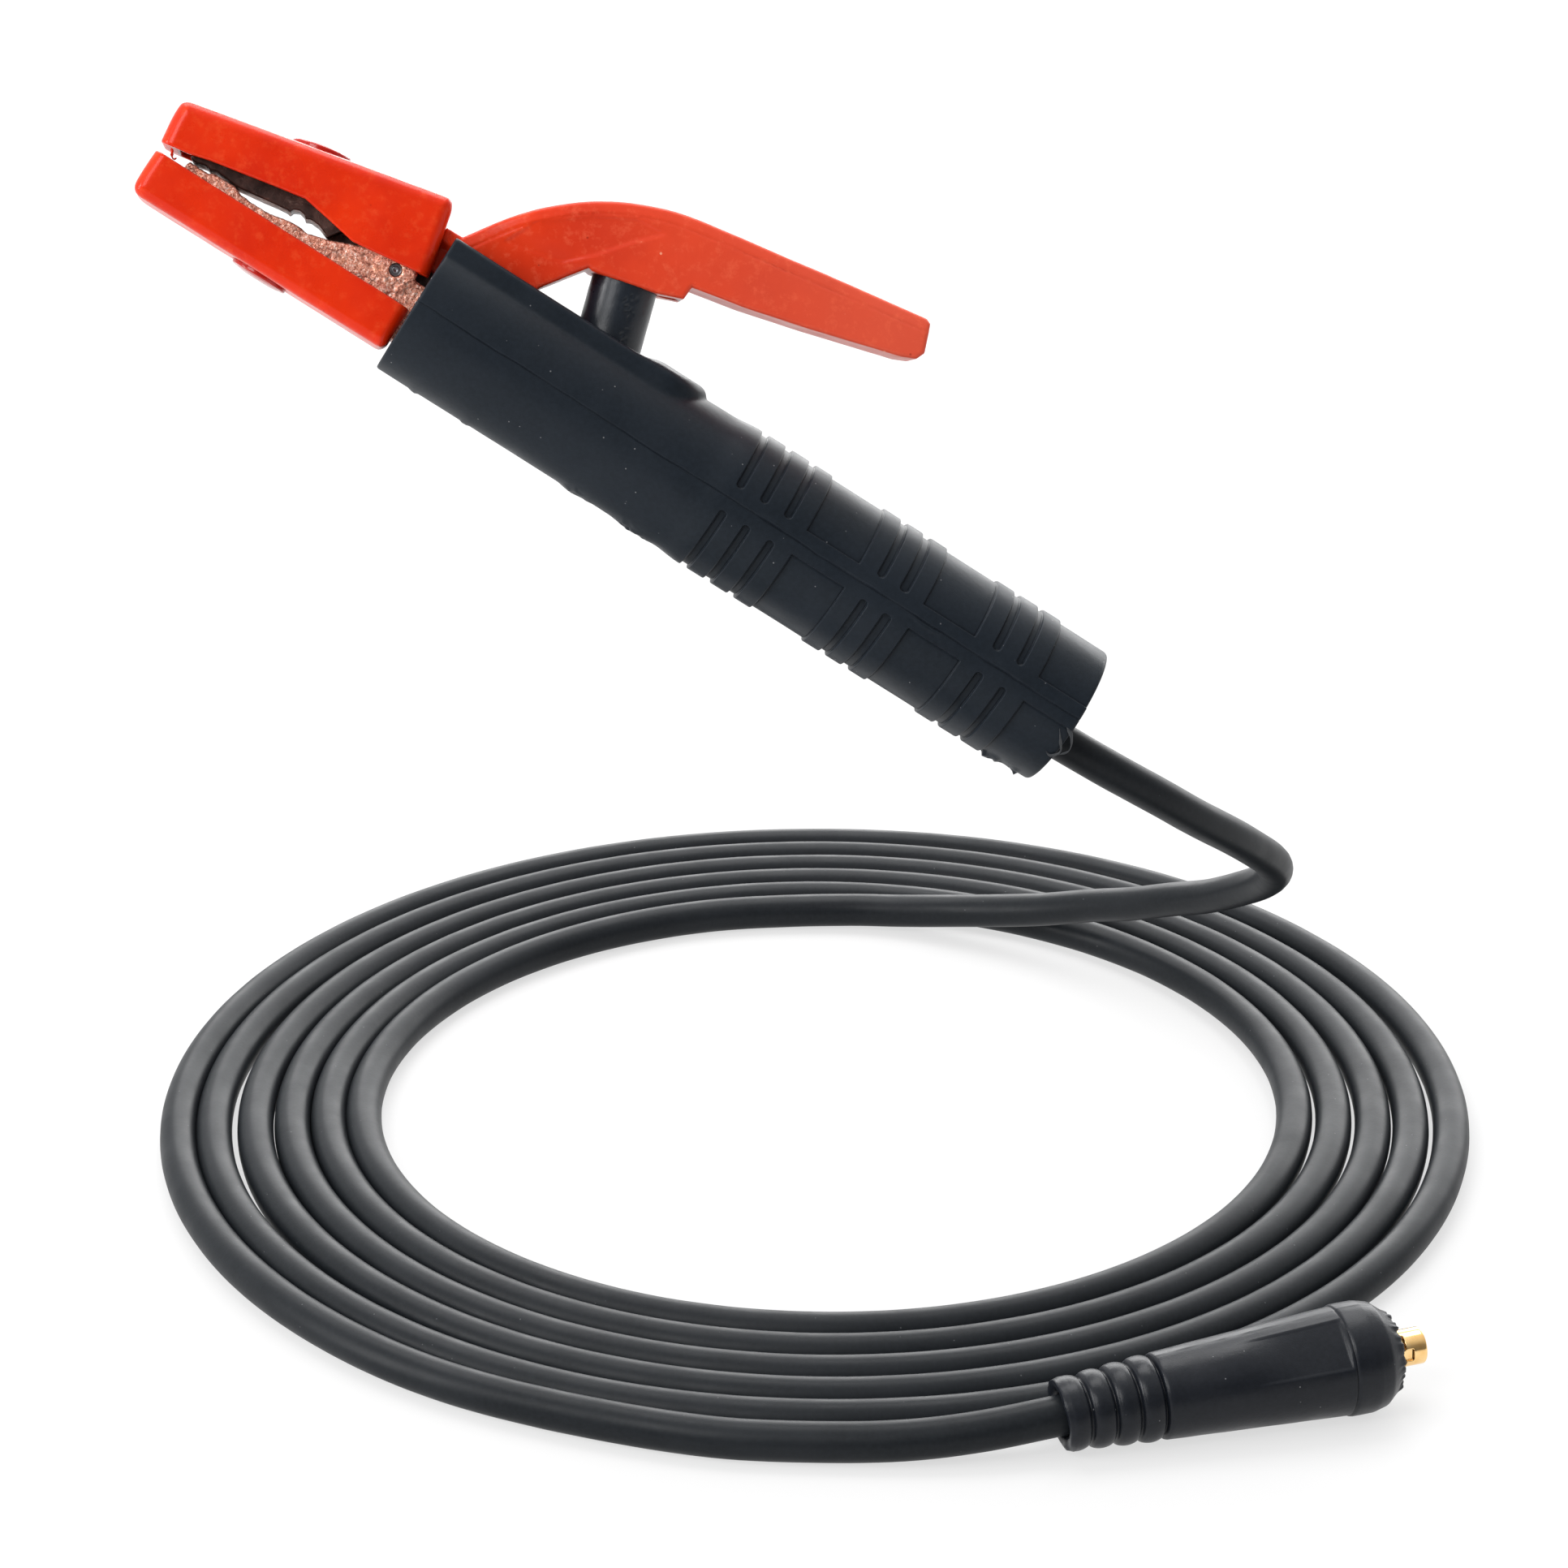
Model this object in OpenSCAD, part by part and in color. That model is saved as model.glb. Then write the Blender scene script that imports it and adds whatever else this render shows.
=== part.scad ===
// Arc-welding electrode holder with a sprung lever, on a coiled welding cable
// that ends in a twist-lock plug.  Millimetres, +Z up.
// The origin is the middle of the hand grip, on the handle's axis.

/* [Pose of the holder] */
// How far the cable end of the holder droops below level, in degrees
droop = 31.9; // [31.7:0.1:32.1]
// Turn of the holder about its own upright axis, in degrees
yaw = 7.5; // [7.3:0.1:7.7]
// Lean of the lever side away from the front, in degrees
lean = 22.6; // [22.4:0.1:22.8]

/* [Handle] */
// Length of the handle
handle_len = 193.5; // [192:0.5:195]
// Outer radius of the handle
handle_r = 18.4; // [18.2:0.1:18.8]
// How far the grip ribs stand proud
rib_proud = 0.6; // [0.3:0.1:1.0]
// Radius of the handle's bore
bore_r = 14.6; // [14.5:0.05:14.8]
// Height of the collar round the lever slot
collar_top = 18.6; // [18.4:0.1:18.9]
// Half width of that collar
collar_hw = 12.4; // [12:0.1:13]
// Half width of the lever slot
slot_hw = 8.9; // [8.8:0.05:9.2]

/* [Jaws and insulators] */
// Width of both jaw insulators
insulator_w = 25; // [24.6:0.2:26]
// Width of the jaw body casting
body_w = 18; // [17.6:0.1:18.4]
// Width of the upper jaw
jaw_w = 16; // [15:0.2:16.6]
// Radius of the electrode groove between the jaws
groove_r = 1.6; // [1.6:0.1:1.7]
// Radius of the hinge pin
hinge_r = 2.2; // [2.0:0.1:2.3]
// Running clearance of the upper jaw on the hinge pin
hinge_gap = 0.05; // [0.03:0.01:0.08]
// Radius of the insulated screw caps
cap_r = 7.5; // [7.2:0.1:7.8]

/* [Lever and spring] */
// Width of the lever's arch and tail
lever_w = 19; // [18.6:0.2:20]
// Width of the lever's root, which works in the slot
root_w = 15.6; // [15:0.2:16]
// Outer radius of the spring sleeve
sleeve_r = 8.4; // [8.2:0.1:8.5]
// Inner radius of the spring sleeve
sleeve_ri = 6.6; // [6.5:0.1:6.8]
// Mean radius of the spring
spring_r = 4.4; // [4.2:0.1:4.6]
// Wire diameter of the spring
wire_d = 1.7; // [1.5:0.1:1.8]
// Working turns of the spring
spring_turns = 8; // [7:1:9]

/* [Cable and plug] */
// Outer diameter of the cable
cable_d = 10; // [9.6:0.1:10]
// Diameter of the copper strands
core_d = 5.6; // [5.2:0.1:5.6]
// Diameter of the plug's contact pin
pin_d = 9; // [8.9:0.05:9.1]
// How far the pin stands out of the plug
pin_out = 8; // [7.5:0.5:9]

/* [Hidden] */

$fn = 64;
grip_x = 126;               // middle of the grip, from the handle's front face
hinge = [-9.6, 4.1];        // x and z of the hinge
floor_z = -171.5;           // the floor that the coil lies on
coil_c = [-5, 40];          // middle of the coil
cable_r = cable_d / 2;

// the sleeve's axis: a point on it, and its lean back from upright
sleeve_p = [43.7, 19.3];
sleeve_lean = 16.3;
// distance along that axis, from sleeve_p, of the spring's seat and the cap
seat_s = -29;
cap_s = 18.4;
sleeve_low = -11.6;

// tilt of the upper jaw's own line
jaw_tilt = 12.2;

// the plug: where the cable goes in, and its turn and rise
plug_p = [49.1, -134.4, floor_z + 9.4];
plug_turn = 15.7;
plug_rise = 2.8;
collar_r = 13.45;
pin_face = 84.5;

// grip ribs: start and width, from the handle's front face
ribs = [[90.6, 4.6], [97.5, 4.7], [104.5, 4.6], [124.9, 4.7], [131.9, 4.3],
    [138.9, 4.5], [159, 4.7], [166.1, 4.7], [172.9, 4.7]];

// the lead: from inside the handle, round one free bend and down to the coil
lead = [[34.5, -6, -30], [44, -6.5, -35.5], [53.5, -7.5, -41], [67.5, -6.5, -50],
    [80.5, -1, -59.5], [91.5, 7, -69], [101.5, 17, -78], [109.5, 28.5, -87],
    [116, 41, -96], [119, 54.5, -105], [118, 68, -114], [113, 81.5, -122.5],
    [105.5, 94, -130.5], [96.5, 106.5, -137], [86, 117.5, -143.5],
    [74.5, 128.5, -149], [62.5, 138, -154.5], [49, 147, -159],
    [34.5, 154.5, -162.5], [19.5, 160, -165], [3, 163, -166]];
// the spiral's radius at an angle counted from the lead's landing
function spiral(a) = 123.8 + 9.98 * (a - 90) / 360;
coil_in = spiral(90) - cable_r;
coil_out = spiral(1690) + cable_r;
// the last turn leaves the coil and rises into the plug
tail = concat(
    [for (a = [1800 : 15 : 2050]) [coil_c[0] + spiral(a) * cos(a),
        coil_c[1] + spiral(a) * sin(a), floor_z + cable_r]],
    [[-36.5, -136, floor_z + 5], [-7, -139, floor_z + 5],
     [14, -139.5, floor_z + 5.8], [32.5, -138, floor_z + 7.6], plug_p,
     plug_at(15), plug_at(30), plug_at(46)]);
function plug_at(s) = plug_p + s * [cos(plug_rise) * cos(plug_turn),
    cos(plug_rise) * sin(plug_turn), sin(plug_rise)];

// one smooth curve through route points
function blend4(a, b, c, d, t) = 0.5 * (2 * b + (c - a) * t
    + (2 * a - 5 * b + 4 * c - d) * t * t + (3 * b - a - 3 * c + d) * t * t * t);
function curve(p, n) = let (m = len(p) - 1) [for (i = [0 : n])
    let (s = i / n * m, k = min(floor(s), m - 1))
    blend4(p[max(k - 1, 0)], p[k], p[k + 1], p[min(k + 2, m)], s - k)];
function unit(v) = v / norm(v);
function ring(c, t, r, n) = let (s = unit(cross(t, [0, 0, 1])), u = cross(s, t))
    [for (j = [0 : n - 1]) c + r * (cos(j * 360 / n) * s + sin(j * 360 / n) * u)];

// a round tube swept along a line of points
module tube(c, r, n = 10) {
    m = len(c);
    pts = [for (i = [0 : m - 1]) each ring(c[i],
        unit(c[min(i + 1, m - 1)] - c[max(i - 1, 0)]), r, n)];
    polyhedron(pts, concat(
        [[for (j = [0 : n - 1]) j]],
        [for (i = [0 : m - 2], j = [0 : n - 1])
            [i * n + j, (i + 1) * n + j, (i + 1) * n + (j + 1) % n]],
        [for (i = [0 : m - 2], j = [0 : n - 1])
            [i * n + j, (i + 1) * n + (j + 1) % n, i * n + (j + 1) % n]],
        [[for (j = [n - 1 : -1 : 0]) (m - 1) * n + j]]), convexity = 6);
}

// the holder's own frame: x from the handle's front face to the cable, z to the lever
module hold() {
    rotate([-lean, 0, 0]) rotate([0, droop, 0]) rotate([0, 0, yaw])
        translate([-grip_x, 0, 0]) children();
}
// a plate of the given width whose outline is drawn in x and z
module plate(pts, w) {
    translate([0, w / 2, 0]) rotate([90, 0, 0]) linear_extrude(w) polygon(pts);
}
// a round bar across the holder, and one along it
module cross_bar(x, z, r, w) {
    translate([x, w / 2, z]) rotate([90, 0, 0]) cylinder(r = r, h = w);
}
module along(x, r, h) { translate([x, 0, 0]) rotate([0, 90, 0]) cylinder(r = r, h = h); }
// a frame on the sleeve's axis, and one on the upper insulator's top face
module on_sleeve(s) {
    translate([sleeve_p[0], 0, sleeve_p[1]]) rotate([0, -sleeve_lean, 0])
        translate([0, 0, s]) children();
}
module on_top() { translate([-40.2, 0, 18.67]) rotate([0, -jaw_tilt, 0]) children(); }
module on_bottom() { translate([-37.3, 0, -14.15]) rotate([180, 0, 0]) children(); }

lower_top = [[-65.9, -1.5], [-65.3, -0.4], [-60.2, -0.4], [-59.2, 0.35],
    [-53, 0.35], [-51, -0.5], [-48, -0.8], [-42.5, -0.7], [-39, 0.1],
    [-36.9, 0.5], [-34.5, 0.4], [-32.3, 0.2], [-27.2, 1.6], [-21.3, 4],
    [-16.5, 6.4], [-12.8, 8.4]];

module jaw_body() color([0.72, 0.43, 0.33]) hold() {
    difference() {
        union() {
            difference() {
                union() {
                    plate(concat([[8, -10.8], [-63, -10.8], [-65.9, -8.5]], lower_top,
                        [[-5, 6.8], [-4.4, 4.4], [8, 4.4]]), body_w);
                    cross_bar(hinge[0], hinge[1], 5.2, body_w);
                }
                // slot for the upper jaw's neck and arm
                translate([-29, -4.6, -3.8]) cube([60, 9.2, 30]);
            }
            // open channel that carries the spring and the cable socket
            difference() {
                along(2, 14.2, 62);
                along(1, 11.2, 64);
                translate([0, -20, 0]) cube([66, 40, 20]);
            }
            along(61, 14.2, 4);
            along(61, 11.5, 29);
            intersection() {
                on_sleeve(seat_s - 4.2) cylinder(r = 6.4, h = 4.2);
                along(30, 14.2, 34);
            }
        }
        cross_bar(hinge[0], hinge[1], hinge_r, 30);
        // bore for the cable, its two clamp screws, the spring post and the handle screw
        along(67, 5.1, 24);
        for (x = [73, 83]) translate([x, 0, 0]) cylinder(r = 2.5, h = 20);
        on_sleeve(seat_s - 3.4) cylinder(r = 2, h = 10);
        translate([63, 0, -15]) cylinder(r = 1.8, h = 7);
        // threads for the insulator's screw
        translate([-37.3, 0, -12]) cylinder(r = 2, h = 8.4);
    }
}

jaw_block = [[-65.9, 0.6], [-52.7, 0.6], [-39.7, 2.4], [-34.9, 2.9], [-33.4, 3.5],
    [-30.9, 3.3], [-27.7, 2.1], [-25, 6], [-19, 11.5], [-15, 14], [-13, 18.2],
    [-65.9, 6.9]];
arm_line = [[-30, 3.1], [-27.7, 2.1], [-24, 0.4], [-14.5, -0.9], [-9.6, -1.2],
    [-5.5, -0.2], [4.5, 7.5], [12, 18.5], [20, 27.5], [31, 35], [56, 43.6],
    [84, 50.6], [104, 55.6], [104, 60.4], [84, 57.2], [56, 52.4], [42, 49.4],
    [31, 45], [22, 39.4], [14.5, 32.8], [8, 25], [1.5, 15.5], [-5.6, 10.5],
    [-13, 14], [-13, 18.2], [-30, 14.5]];

module upper_jaw() color([0.42, 0.27, 0.23]) hold() difference() {
    union() {
        plate(jaw_block, jaw_w);
        plate(arm_line, 7.8);
    }
    cross_bar(hinge[0], hinge[1], hinge_r + hinge_gap, 30);
    cross_bar(-36.9, 2.35, groove_r, 30);
    on_top() translate([0, 0, -12]) cylinder(r = 2, h = 12);
    translate([51.2, 0, 30]) cylinder(r = 1.5, h = 16);
}

module hinge_pin() color("silver") hold() difference() {
    cross_bar(hinge[0], hinge[1], hinge_r, body_w + 0.4);
    cross_bar(hinge[0], hinge[1], 1.1, body_w + 2);
}

module upper_insulator() color([0.85, 0.2, 0.07]) hold() difference() {
    union() {
        difference() {
            plate([[-73.4, -0.1], [-74.6, 7.1], [-74.2, 9.6], [-72.7, 11.3],
                [-70.5, 12.1], [-8.6, 25.5], [-6.9, 25.3], [-5.9, 24], [-2, 6.7],
                [-22.1, 4.2], [-37, 6.9], [-61, 2.4], [-66.2, 1]], insulator_w);
            plate([[-69, -3], [-69.5, 6.6], [-68.6, 9.4], [-9.7, 22.2],
                [-8.4, 21.4], [-4.4, 5.5], [-4.4, -3]], 19.6);
            // the arm leaves through the rear wall
            translate([-6.5, -4.6, 0]) cube([8, 9.2, 14]);
        }
        on_top() translate([0, 0, -6]) cylinder(r = 6, h = 3.5);
    }
    on_top() {
        translate([0, 0, -1.2]) cylinder(r = cap_r + 0.05, h = 5);
        translate([0, 0, -3.5]) cylinder(r = 3.7, h = 5);
        translate([0, 0, -8]) cylinder(r = 2.1, h = 8);
    }
}

module lower_insulator() color([0.85, 0.2, 0.07]) hold() difference() {
    plate([[-73.3, -2.4], [-73.7, -8], [-73.3, -11], [-71.8, -13.2], [-69.3, -14.1],
        [-4, -14.2], [-2.3, -13.6], [-1.8, -12], [-1.8, -2.4]], insulator_w);
    translate([-69, -9.4, -11.1]) cube([80, 18.8, 20]);
    on_bottom() {
        translate([0, 0, -1.1]) cylinder(r = cap_r + 0.05, h = 5);
        translate([0, 0, -2.6]) cylinder(r = 3.7, h = 5);
        translate([0, 0, -5]) cylinder(r = 2.1, h = 5);
    }
}

module screw_cap() rotate_extrude()
    polygon([[0, -1.05], [cap_r, -1.05], [cap_r, 0.6], [cap_r - 0.7, 1.3], [0, 1.5]]);
module upper_screw_cap() color([0.8, 0.16, 0.06]) hold() on_top() screw_cap();
module lower_screw_cap() color([0.8, 0.16, 0.06]) hold() on_bottom() screw_cap();

// a slotted pan head with its shank below z = 0
module pan_screw(r, head_r, head_h, len) difference() {
    union() {
        cylinder(r = head_r, h = head_h);
        translate([0, 0, -len]) cylinder(r = r, h = len + 0.1);
    }
    translate([-head_r - 1, -0.4, head_h - 0.7]) cube([2 * head_r + 2, 0.8, 1]);
}
module upper_insulator_screw() color("silver") hold() on_top()
    translate([0, 0, -3.45]) pan_screw(1.98, 3.5, 2.1, 8);
module lower_insulator_screw() color("silver") hold() on_bottom()
    translate([0, 0, -2.58]) pan_screw(1.98, 3.5, 1.4, 7);

lever_top = [[0, 19.9], [6.6, 29.4], [13.3, 37], [21.5, 43.9], [30.5, 49.2],
    [41.3, 53.4], [54.1, 56], [67.4, 58.2], [84.8, 61.1], [108, 64.7],
    [109.3, 64], [111.9, 57], [110.9, 54.7], [107.3, 53.1], [84.2, 46.6],
    [67.5, 42.3], [54.2, 39.6], [54, 36.1], [48.2, 33.9], [31.3, 29.8], [30.1, 30]];

module lever() color([0.9, 0.27, 0.1]) hold() difference() {
    union() {
        plate(concat([[-4.2, 17.6], [-4.2, 19.6]], lever_top, [[22.4, 19.3],
            [21.5, 13], [7, 11], [2, 12.5], [0.6, 16.2]]), root_w);
        plate([for (i = [2 : len(lever_top) - 1]) lever_top[i]], lever_w);
    }
    // the arm lies in a slot cut from the root to just short of the tail
    plate([[-6, 4], [4.8, 7], [12.4, 18.3], [20.3, 27.2], [31.2, 34.7], [56, 43.3],
        [84, 50.3], [104.4, 55.3], [104.4, 60.8], [84, 57.6], [56, 52.8],
        [42, 49.8], [31, 45.4], [21.8, 39.8], [14.2, 33.1], [7.7, 25.3],
        [1.1, 15.8], [-6, 10.5]], 8.1);
    on_sleeve(0) cylinder(r = sleeve_r + 0.05, h = cap_s + 0.1);
    translate([51.2, 0, 30]) cylinder(r = 1.5, h = 16);
    translate([51.2, 0, 30]) cylinder(r = 2.9, h = 7.6);
}

module lever_screw() color("silver") hold() translate([51.2, 0, 37.6])
    rotate([180, 0, 0]) pan_screw(1.48, 2.7, 1.7, 7.5);

module spring_sleeve() color([0.08, 0.08, 0.09]) hold() on_sleeve(0) difference() {
    translate([0, 0, sleeve_low]) cylinder(r = sleeve_r, h = cap_s - sleeve_low);
    translate([0, 0, sleeve_low - 1]) cylinder(r = sleeve_ri, h = cap_s - sleeve_low - 0.6);
}

module spring() color([0.6, 0.6, 0.62]) hold() on_sleeve(seat_s) {
    h = cap_s - 1.6 - seat_s - wire_d - 0.2;
    n = spring_turns * 14;
    tube([for (i = [0 : n]) [spring_r * cos(i * 360 / 14),
        spring_r * sin(i * 360 / 14), wire_d / 2 + 0.1 + h * i / n]], wire_d / 2, 6);
}

module spring_post() color("silver") hold() on_sleeve(seat_s - 3.4) {
    cylinder(r = 1.98, h = 10.4);
    translate([0, 0, 10.4]) cylinder(r1 = 1.98, r2 = 1.4, h = 0.8);
}

module handle() color([0.13, 0.14, 0.15]) hold() difference() {
    union() {
        along(0, handle_r, handle_len);
        for (r = ribs) along(r[0], handle_r + rib_proud, r[1]);
        // raised collar with a round end, round the lever slot
        translate([0, -collar_hw, 8]) cube([58.2, 2 * collar_hw, collar_top - 8]);
        translate([58.2, 0, 8]) cylinder(r = collar_hw, h = collar_top - 8);
    }
    along(-1, bore_r, handle_len - 5);
    along(handle_len - 8, 13.4, 20);
    translate([-1, -slot_hw, 2]) cube([48.9, 2 * slot_hw, 30]);
    translate([47.9, 0, 2]) cylinder(r = slot_hw, h = 30);
    translate([63, 0, -20]) cylinder(r = 2, h = 8);
    translate([63, 0, -20]) cylinder(r = 3.6, h = 3.6);
}

module handle_screw() color("silver") hold() translate([63, 0, -16.4])
    rotate([180, 0, 0]) pan_screw(1.78, 3.4, 1.6, 7);

module cable_clamp_screws() color("silver") hold() for (x = [73, 83])
    translate([x, 0, 4.95]) difference() {
        cylinder(r = 2.48, h = 6);
        translate([0, 0, 4]) cylinder(r = 1.4, h = 3, $fn = 6);
    }

module cable_ferrule() color([0.75, 0.45, 0.3]) hold() difference() {
    along(67.2, 4.9, 25);
    along(66, core_d / 2 + 0.05, 27);
}
module cable_strands() color([0.8, 0.48, 0.32]) hold() along(67.4, core_d / 2, 30);

module cable_inner() color([0.12, 0.12, 0.13]) hold()
    translate([97.6, 0, 0]) rotate([0, 90 + 5.5, 0]) cylinder(r = cable_r, h = 73);

module cable_lead() color([0.12, 0.12, 0.13]) tube(curve(lead, 28), cable_r);
module cable_coil() color([0.12, 0.12, 0.13])
    translate([coil_c[0], coil_c[1], floor_z]) rotate_extrude($fn = 96)
        translate([coil_in, 0]) square([coil_out - coil_in, cable_d]);
module cable_tail() color([0.12, 0.12, 0.13]) tube(curve(tail, 48), cable_r);

// the plug's own frame: x along its axis, from the cable to the pin
module on_plug() translate(plug_p) rotate([0, -plug_rise, plug_turn]) children();

module plug_boot() color([0.11, 0.12, 0.14]) on_plug() rotate([0, 90, 0]) difference() {
    rotate_extrude() polygon([[0, 0], [8.2, 0], [9, 0.9], [9, 4.4], [8, 5.5],
        [9.4, 6.6], [9.4, 10.3], [8.4, 11.5], [9.9, 12.6], [9.9, 16.3], [8.9, 17.5],
        [10.4, 18.6], [10.4, 22.3], [9.4, 23.4], [10.4, 24.6], [13.2, 70.5],
        [collar_r, 71], [collar_r, 77], [12.4, 80.5], [9.7, 84.5], [0, 84.5]]);
    translate([0, 0, -1]) cylinder(r = 5.15, h = 50);
    translate([0, 0, 47]) cylinder(r = 7.6, h = 40);
}

module plug_pin() color([0.85, 0.63, 0.25]) on_plug() difference() {
    union() {
        along(48, 7.5, pin_face - 1 - 48);
        along(pin_face - 1.5, pin_d / 2, pin_out + 1.5);
    }
    along(47, 4, 20);
    // the bayonet step: a shallow flat next to the face
    translate([pin_face - 1, -pin_d / 2 - 5, -2.4]) cube([3.6, 5.7, 4.8]);
    translate([57, 0, 0]) cylinder(r = 2.5, h = 12);
}
module plug_screw() color("silver") on_plug() translate([57, 0, 4]) difference() {
    cylinder(r = 2.48, h = 3);
    translate([0, 0, 1.4]) cylinder(r = 1.3, h = 3, $fn = 6);
}
module plug_ferrule() color([0.75, 0.45, 0.3]) on_plug() difference() {
    along(48.5, 3.9, 18);
    along(47, core_d / 2 + 0.05, 21);
}
module plug_strands() color([0.8, 0.48, 0.32]) on_plug() along(46.1, core_d / 2, 20);

jaw_body();
upper_jaw();
hinge_pin();
upper_insulator();
lower_insulator();
upper_screw_cap();
lower_screw_cap();
upper_insulator_screw();
lower_insulator_screw();
lever();
lever_screw();
spring_sleeve();
spring();
spring_post();
handle();
handle_screw();
cable_clamp_screws();
cable_ferrule();
cable_strands();
cable_inner();
cable_lead();
cable_coil();
cable_tail();
plug_boot();
plug_pin();
plug_screw();
plug_ferrule();
plug_strands();
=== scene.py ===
import math

import bpy
import numpy as np
import openvdb as vdb
from mathutils import Matrix, Vector


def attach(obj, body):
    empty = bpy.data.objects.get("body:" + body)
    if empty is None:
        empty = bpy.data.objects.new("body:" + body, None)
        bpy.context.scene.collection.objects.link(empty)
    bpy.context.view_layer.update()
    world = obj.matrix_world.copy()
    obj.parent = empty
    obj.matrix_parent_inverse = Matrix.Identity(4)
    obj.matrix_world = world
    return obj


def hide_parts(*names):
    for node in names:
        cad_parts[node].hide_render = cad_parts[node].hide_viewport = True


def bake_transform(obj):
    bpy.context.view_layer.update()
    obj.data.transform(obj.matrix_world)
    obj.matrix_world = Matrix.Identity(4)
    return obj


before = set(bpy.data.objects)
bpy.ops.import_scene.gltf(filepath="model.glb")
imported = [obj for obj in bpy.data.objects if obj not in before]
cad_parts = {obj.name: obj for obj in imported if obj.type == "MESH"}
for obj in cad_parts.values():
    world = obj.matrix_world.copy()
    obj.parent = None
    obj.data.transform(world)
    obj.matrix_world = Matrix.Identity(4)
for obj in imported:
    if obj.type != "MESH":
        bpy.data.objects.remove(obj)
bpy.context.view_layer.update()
SCENE = bpy.context.scene
RNG = np.random.default_rng(7)

# ---------------------------------------------------------------- frames
# The holder's own frame, in millimetres: x from the handle's front face to the
# cable end, z to the lever side, y away from the camera.


def rot(axis, deg):
    a = math.radians(deg)
    c, s = math.cos(a), math.sin(a)
    return np.array({"x": [[1, 0, 0], [0, c, -s], [0, s, c]],
                     "y": [[c, 0, s], [0, 1, 0], [-s, 0, c]],
                     "z": [[c, -s, 0], [s, c, 0], [0, 0, 1]]}[axis], float)


HOLD = rot("x", -22.6) @ rot("y", 31.9) @ rot("z", 7.5)
FLOOR = -171.5
COIL = np.array([-5.0, 40.0])
PLUG_P = np.array([49.1, -134.4, FLOOR + 9.4])
PLUG = rot("z", 15.7) @ rot("y", -2.8)
SLEEVE = rot("y", -16.3)


def hold(p):
    """Points of the holder's frame, as metres in the row frame."""
    return (np.asarray(p, float) - [126, 0, 0]) @ HOLD.T / 1000


def plug(p):
    return (np.asarray(p, float) @ PLUG.T + PLUG_P) / 1000


def on_sleeve(p):
    return hold(np.asarray(p, float) @ SLEEVE.T + [43.7, 0, 19.3])


# ---------------------------------------------------------------- camera, floor, light
cam = bpy.data.objects.new("camera", bpy.data.cameras.new("camera"))
SCENE.collection.objects.link(cam)
cam.location = (-0.0158, -0.951, 0.3402)
cam.rotation_euler = (math.radians(90 - 22.64), 0, 0)
cam.data.lens, cam.data.sensor_width = 92.0, 36.0
cam.data.clip_start, cam.data.clip_end = 0.05, 20
SCENE.camera = cam

SCENE.view_settings.view_transform = "Standard"
SCENE.view_settings.look = "None"

# ---------------------------------------------------------------- mesh helpers


def make(name, verts, faces, material=None, smooth=True):
    me = bpy.data.meshes.new(name)
    verts = np.asarray(verts, float)
    me.from_pydata(verts.tolist(), [], [list(map(int, f)) for f in faces])
    me.validate()
    if smooth:
        me.polygons.foreach_set("use_smooth", [True] * len(me.polygons))
    o = bpy.data.objects.new(name, me)
    SCENE.collection.objects.link(o)
    if material is not None:
        me.materials.append(material)
    return o


def grid_faces(n, m, wrap=False, flip=False, base=0):
    """Quads over an n by m block of points, wrapped round the second way."""
    i = np.arange(n - 1)[:, None]
    j = np.arange(m if wrap else m - 1)[None, :]
    k = (j + 1) % m
    q = np.stack(np.broadcast_arrays(i * m + j, i * m + k, (i + 1) * m + k, (i + 1) * m + j), -1)
    q = q.reshape(-1, 4) + base
    return q[:, ::-1] if flip else q


def weld(o, dist=1e-6):
    import bmesh
    bm = bmesh.new()
    bm.from_mesh(o.data)
    bmesh.ops.remove_doubles(bm, verts=bm.verts, dist=dist)
    bmesh.ops.dissolve_degenerate(bm, edges=bm.edges, dist=dist)
    bmesh.ops.recalc_face_normals(bm, faces=bm.faces)
    bm.to_mesh(o.data)
    bm.free()
    o.data.polygons.foreach_set("use_smooth", [True] * len(o.data.polygons))
    return o


def lathe(name, profile, to_row, material, seg=64, shape=None):
    """A solid of revolution about its own x axis: profile is (x, r) from one axis point to the other."""
    prof = np.array(profile, float)
    th = np.arange(seg) * 2 * math.pi / seg
    body = prof[1:-1]
    X = np.repeat(body[:, 0][:, None], seg, 1)
    R = np.repeat(body[:, 1][:, None], seg, 1)
    T = np.repeat(th[None, :], len(body), 0)
    if shape is not None:
        X, R = shape(X, R, T)
    P = np.stack([X, R * np.sin(T), R * np.cos(T)], -1).reshape(-1, 3)
    n = len(P)
    P = np.vstack([P, [[prof[0][0], 0, 0], [prof[-1][0], 0, 0]]])
    faces = [list(f) for f in grid_faces(len(body), seg, wrap=True)]
    for j in range(seg):
        faces.append([n, (j + 1) % seg, j])
        faces.append([n + 1, (len(body) - 1) * seg + j, (len(body) - 1) * seg + (j + 1) % seg])
    return weld(make(name, to_row(P), faces, material), 1e-7)


def round_profile(points, r=0.4, n=4):
    """The profile with each inner corner rounded."""
    pts = [np.array(p, float) for p in points]
    out = [pts[0]]
    for a, b, c in zip(pts, pts[1:], pts[2:]):
        u, v = a - b, c - b
        lu, lv = np.linalg.norm(u), np.linalg.norm(v)
        k = min(r, 0.45 * lu, 0.45 * lv)
        p, q = b + u / lu * k, b + v / lv * k
        for t in np.linspace(0, 1, n + 1):
            out.append((1 - t) ** 2 * p + 2 * t * (1 - t) * b + t * t * q)
    out.append(pts[-1])
    return out


# ---------------------------------------------------------------- seeded noise


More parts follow.
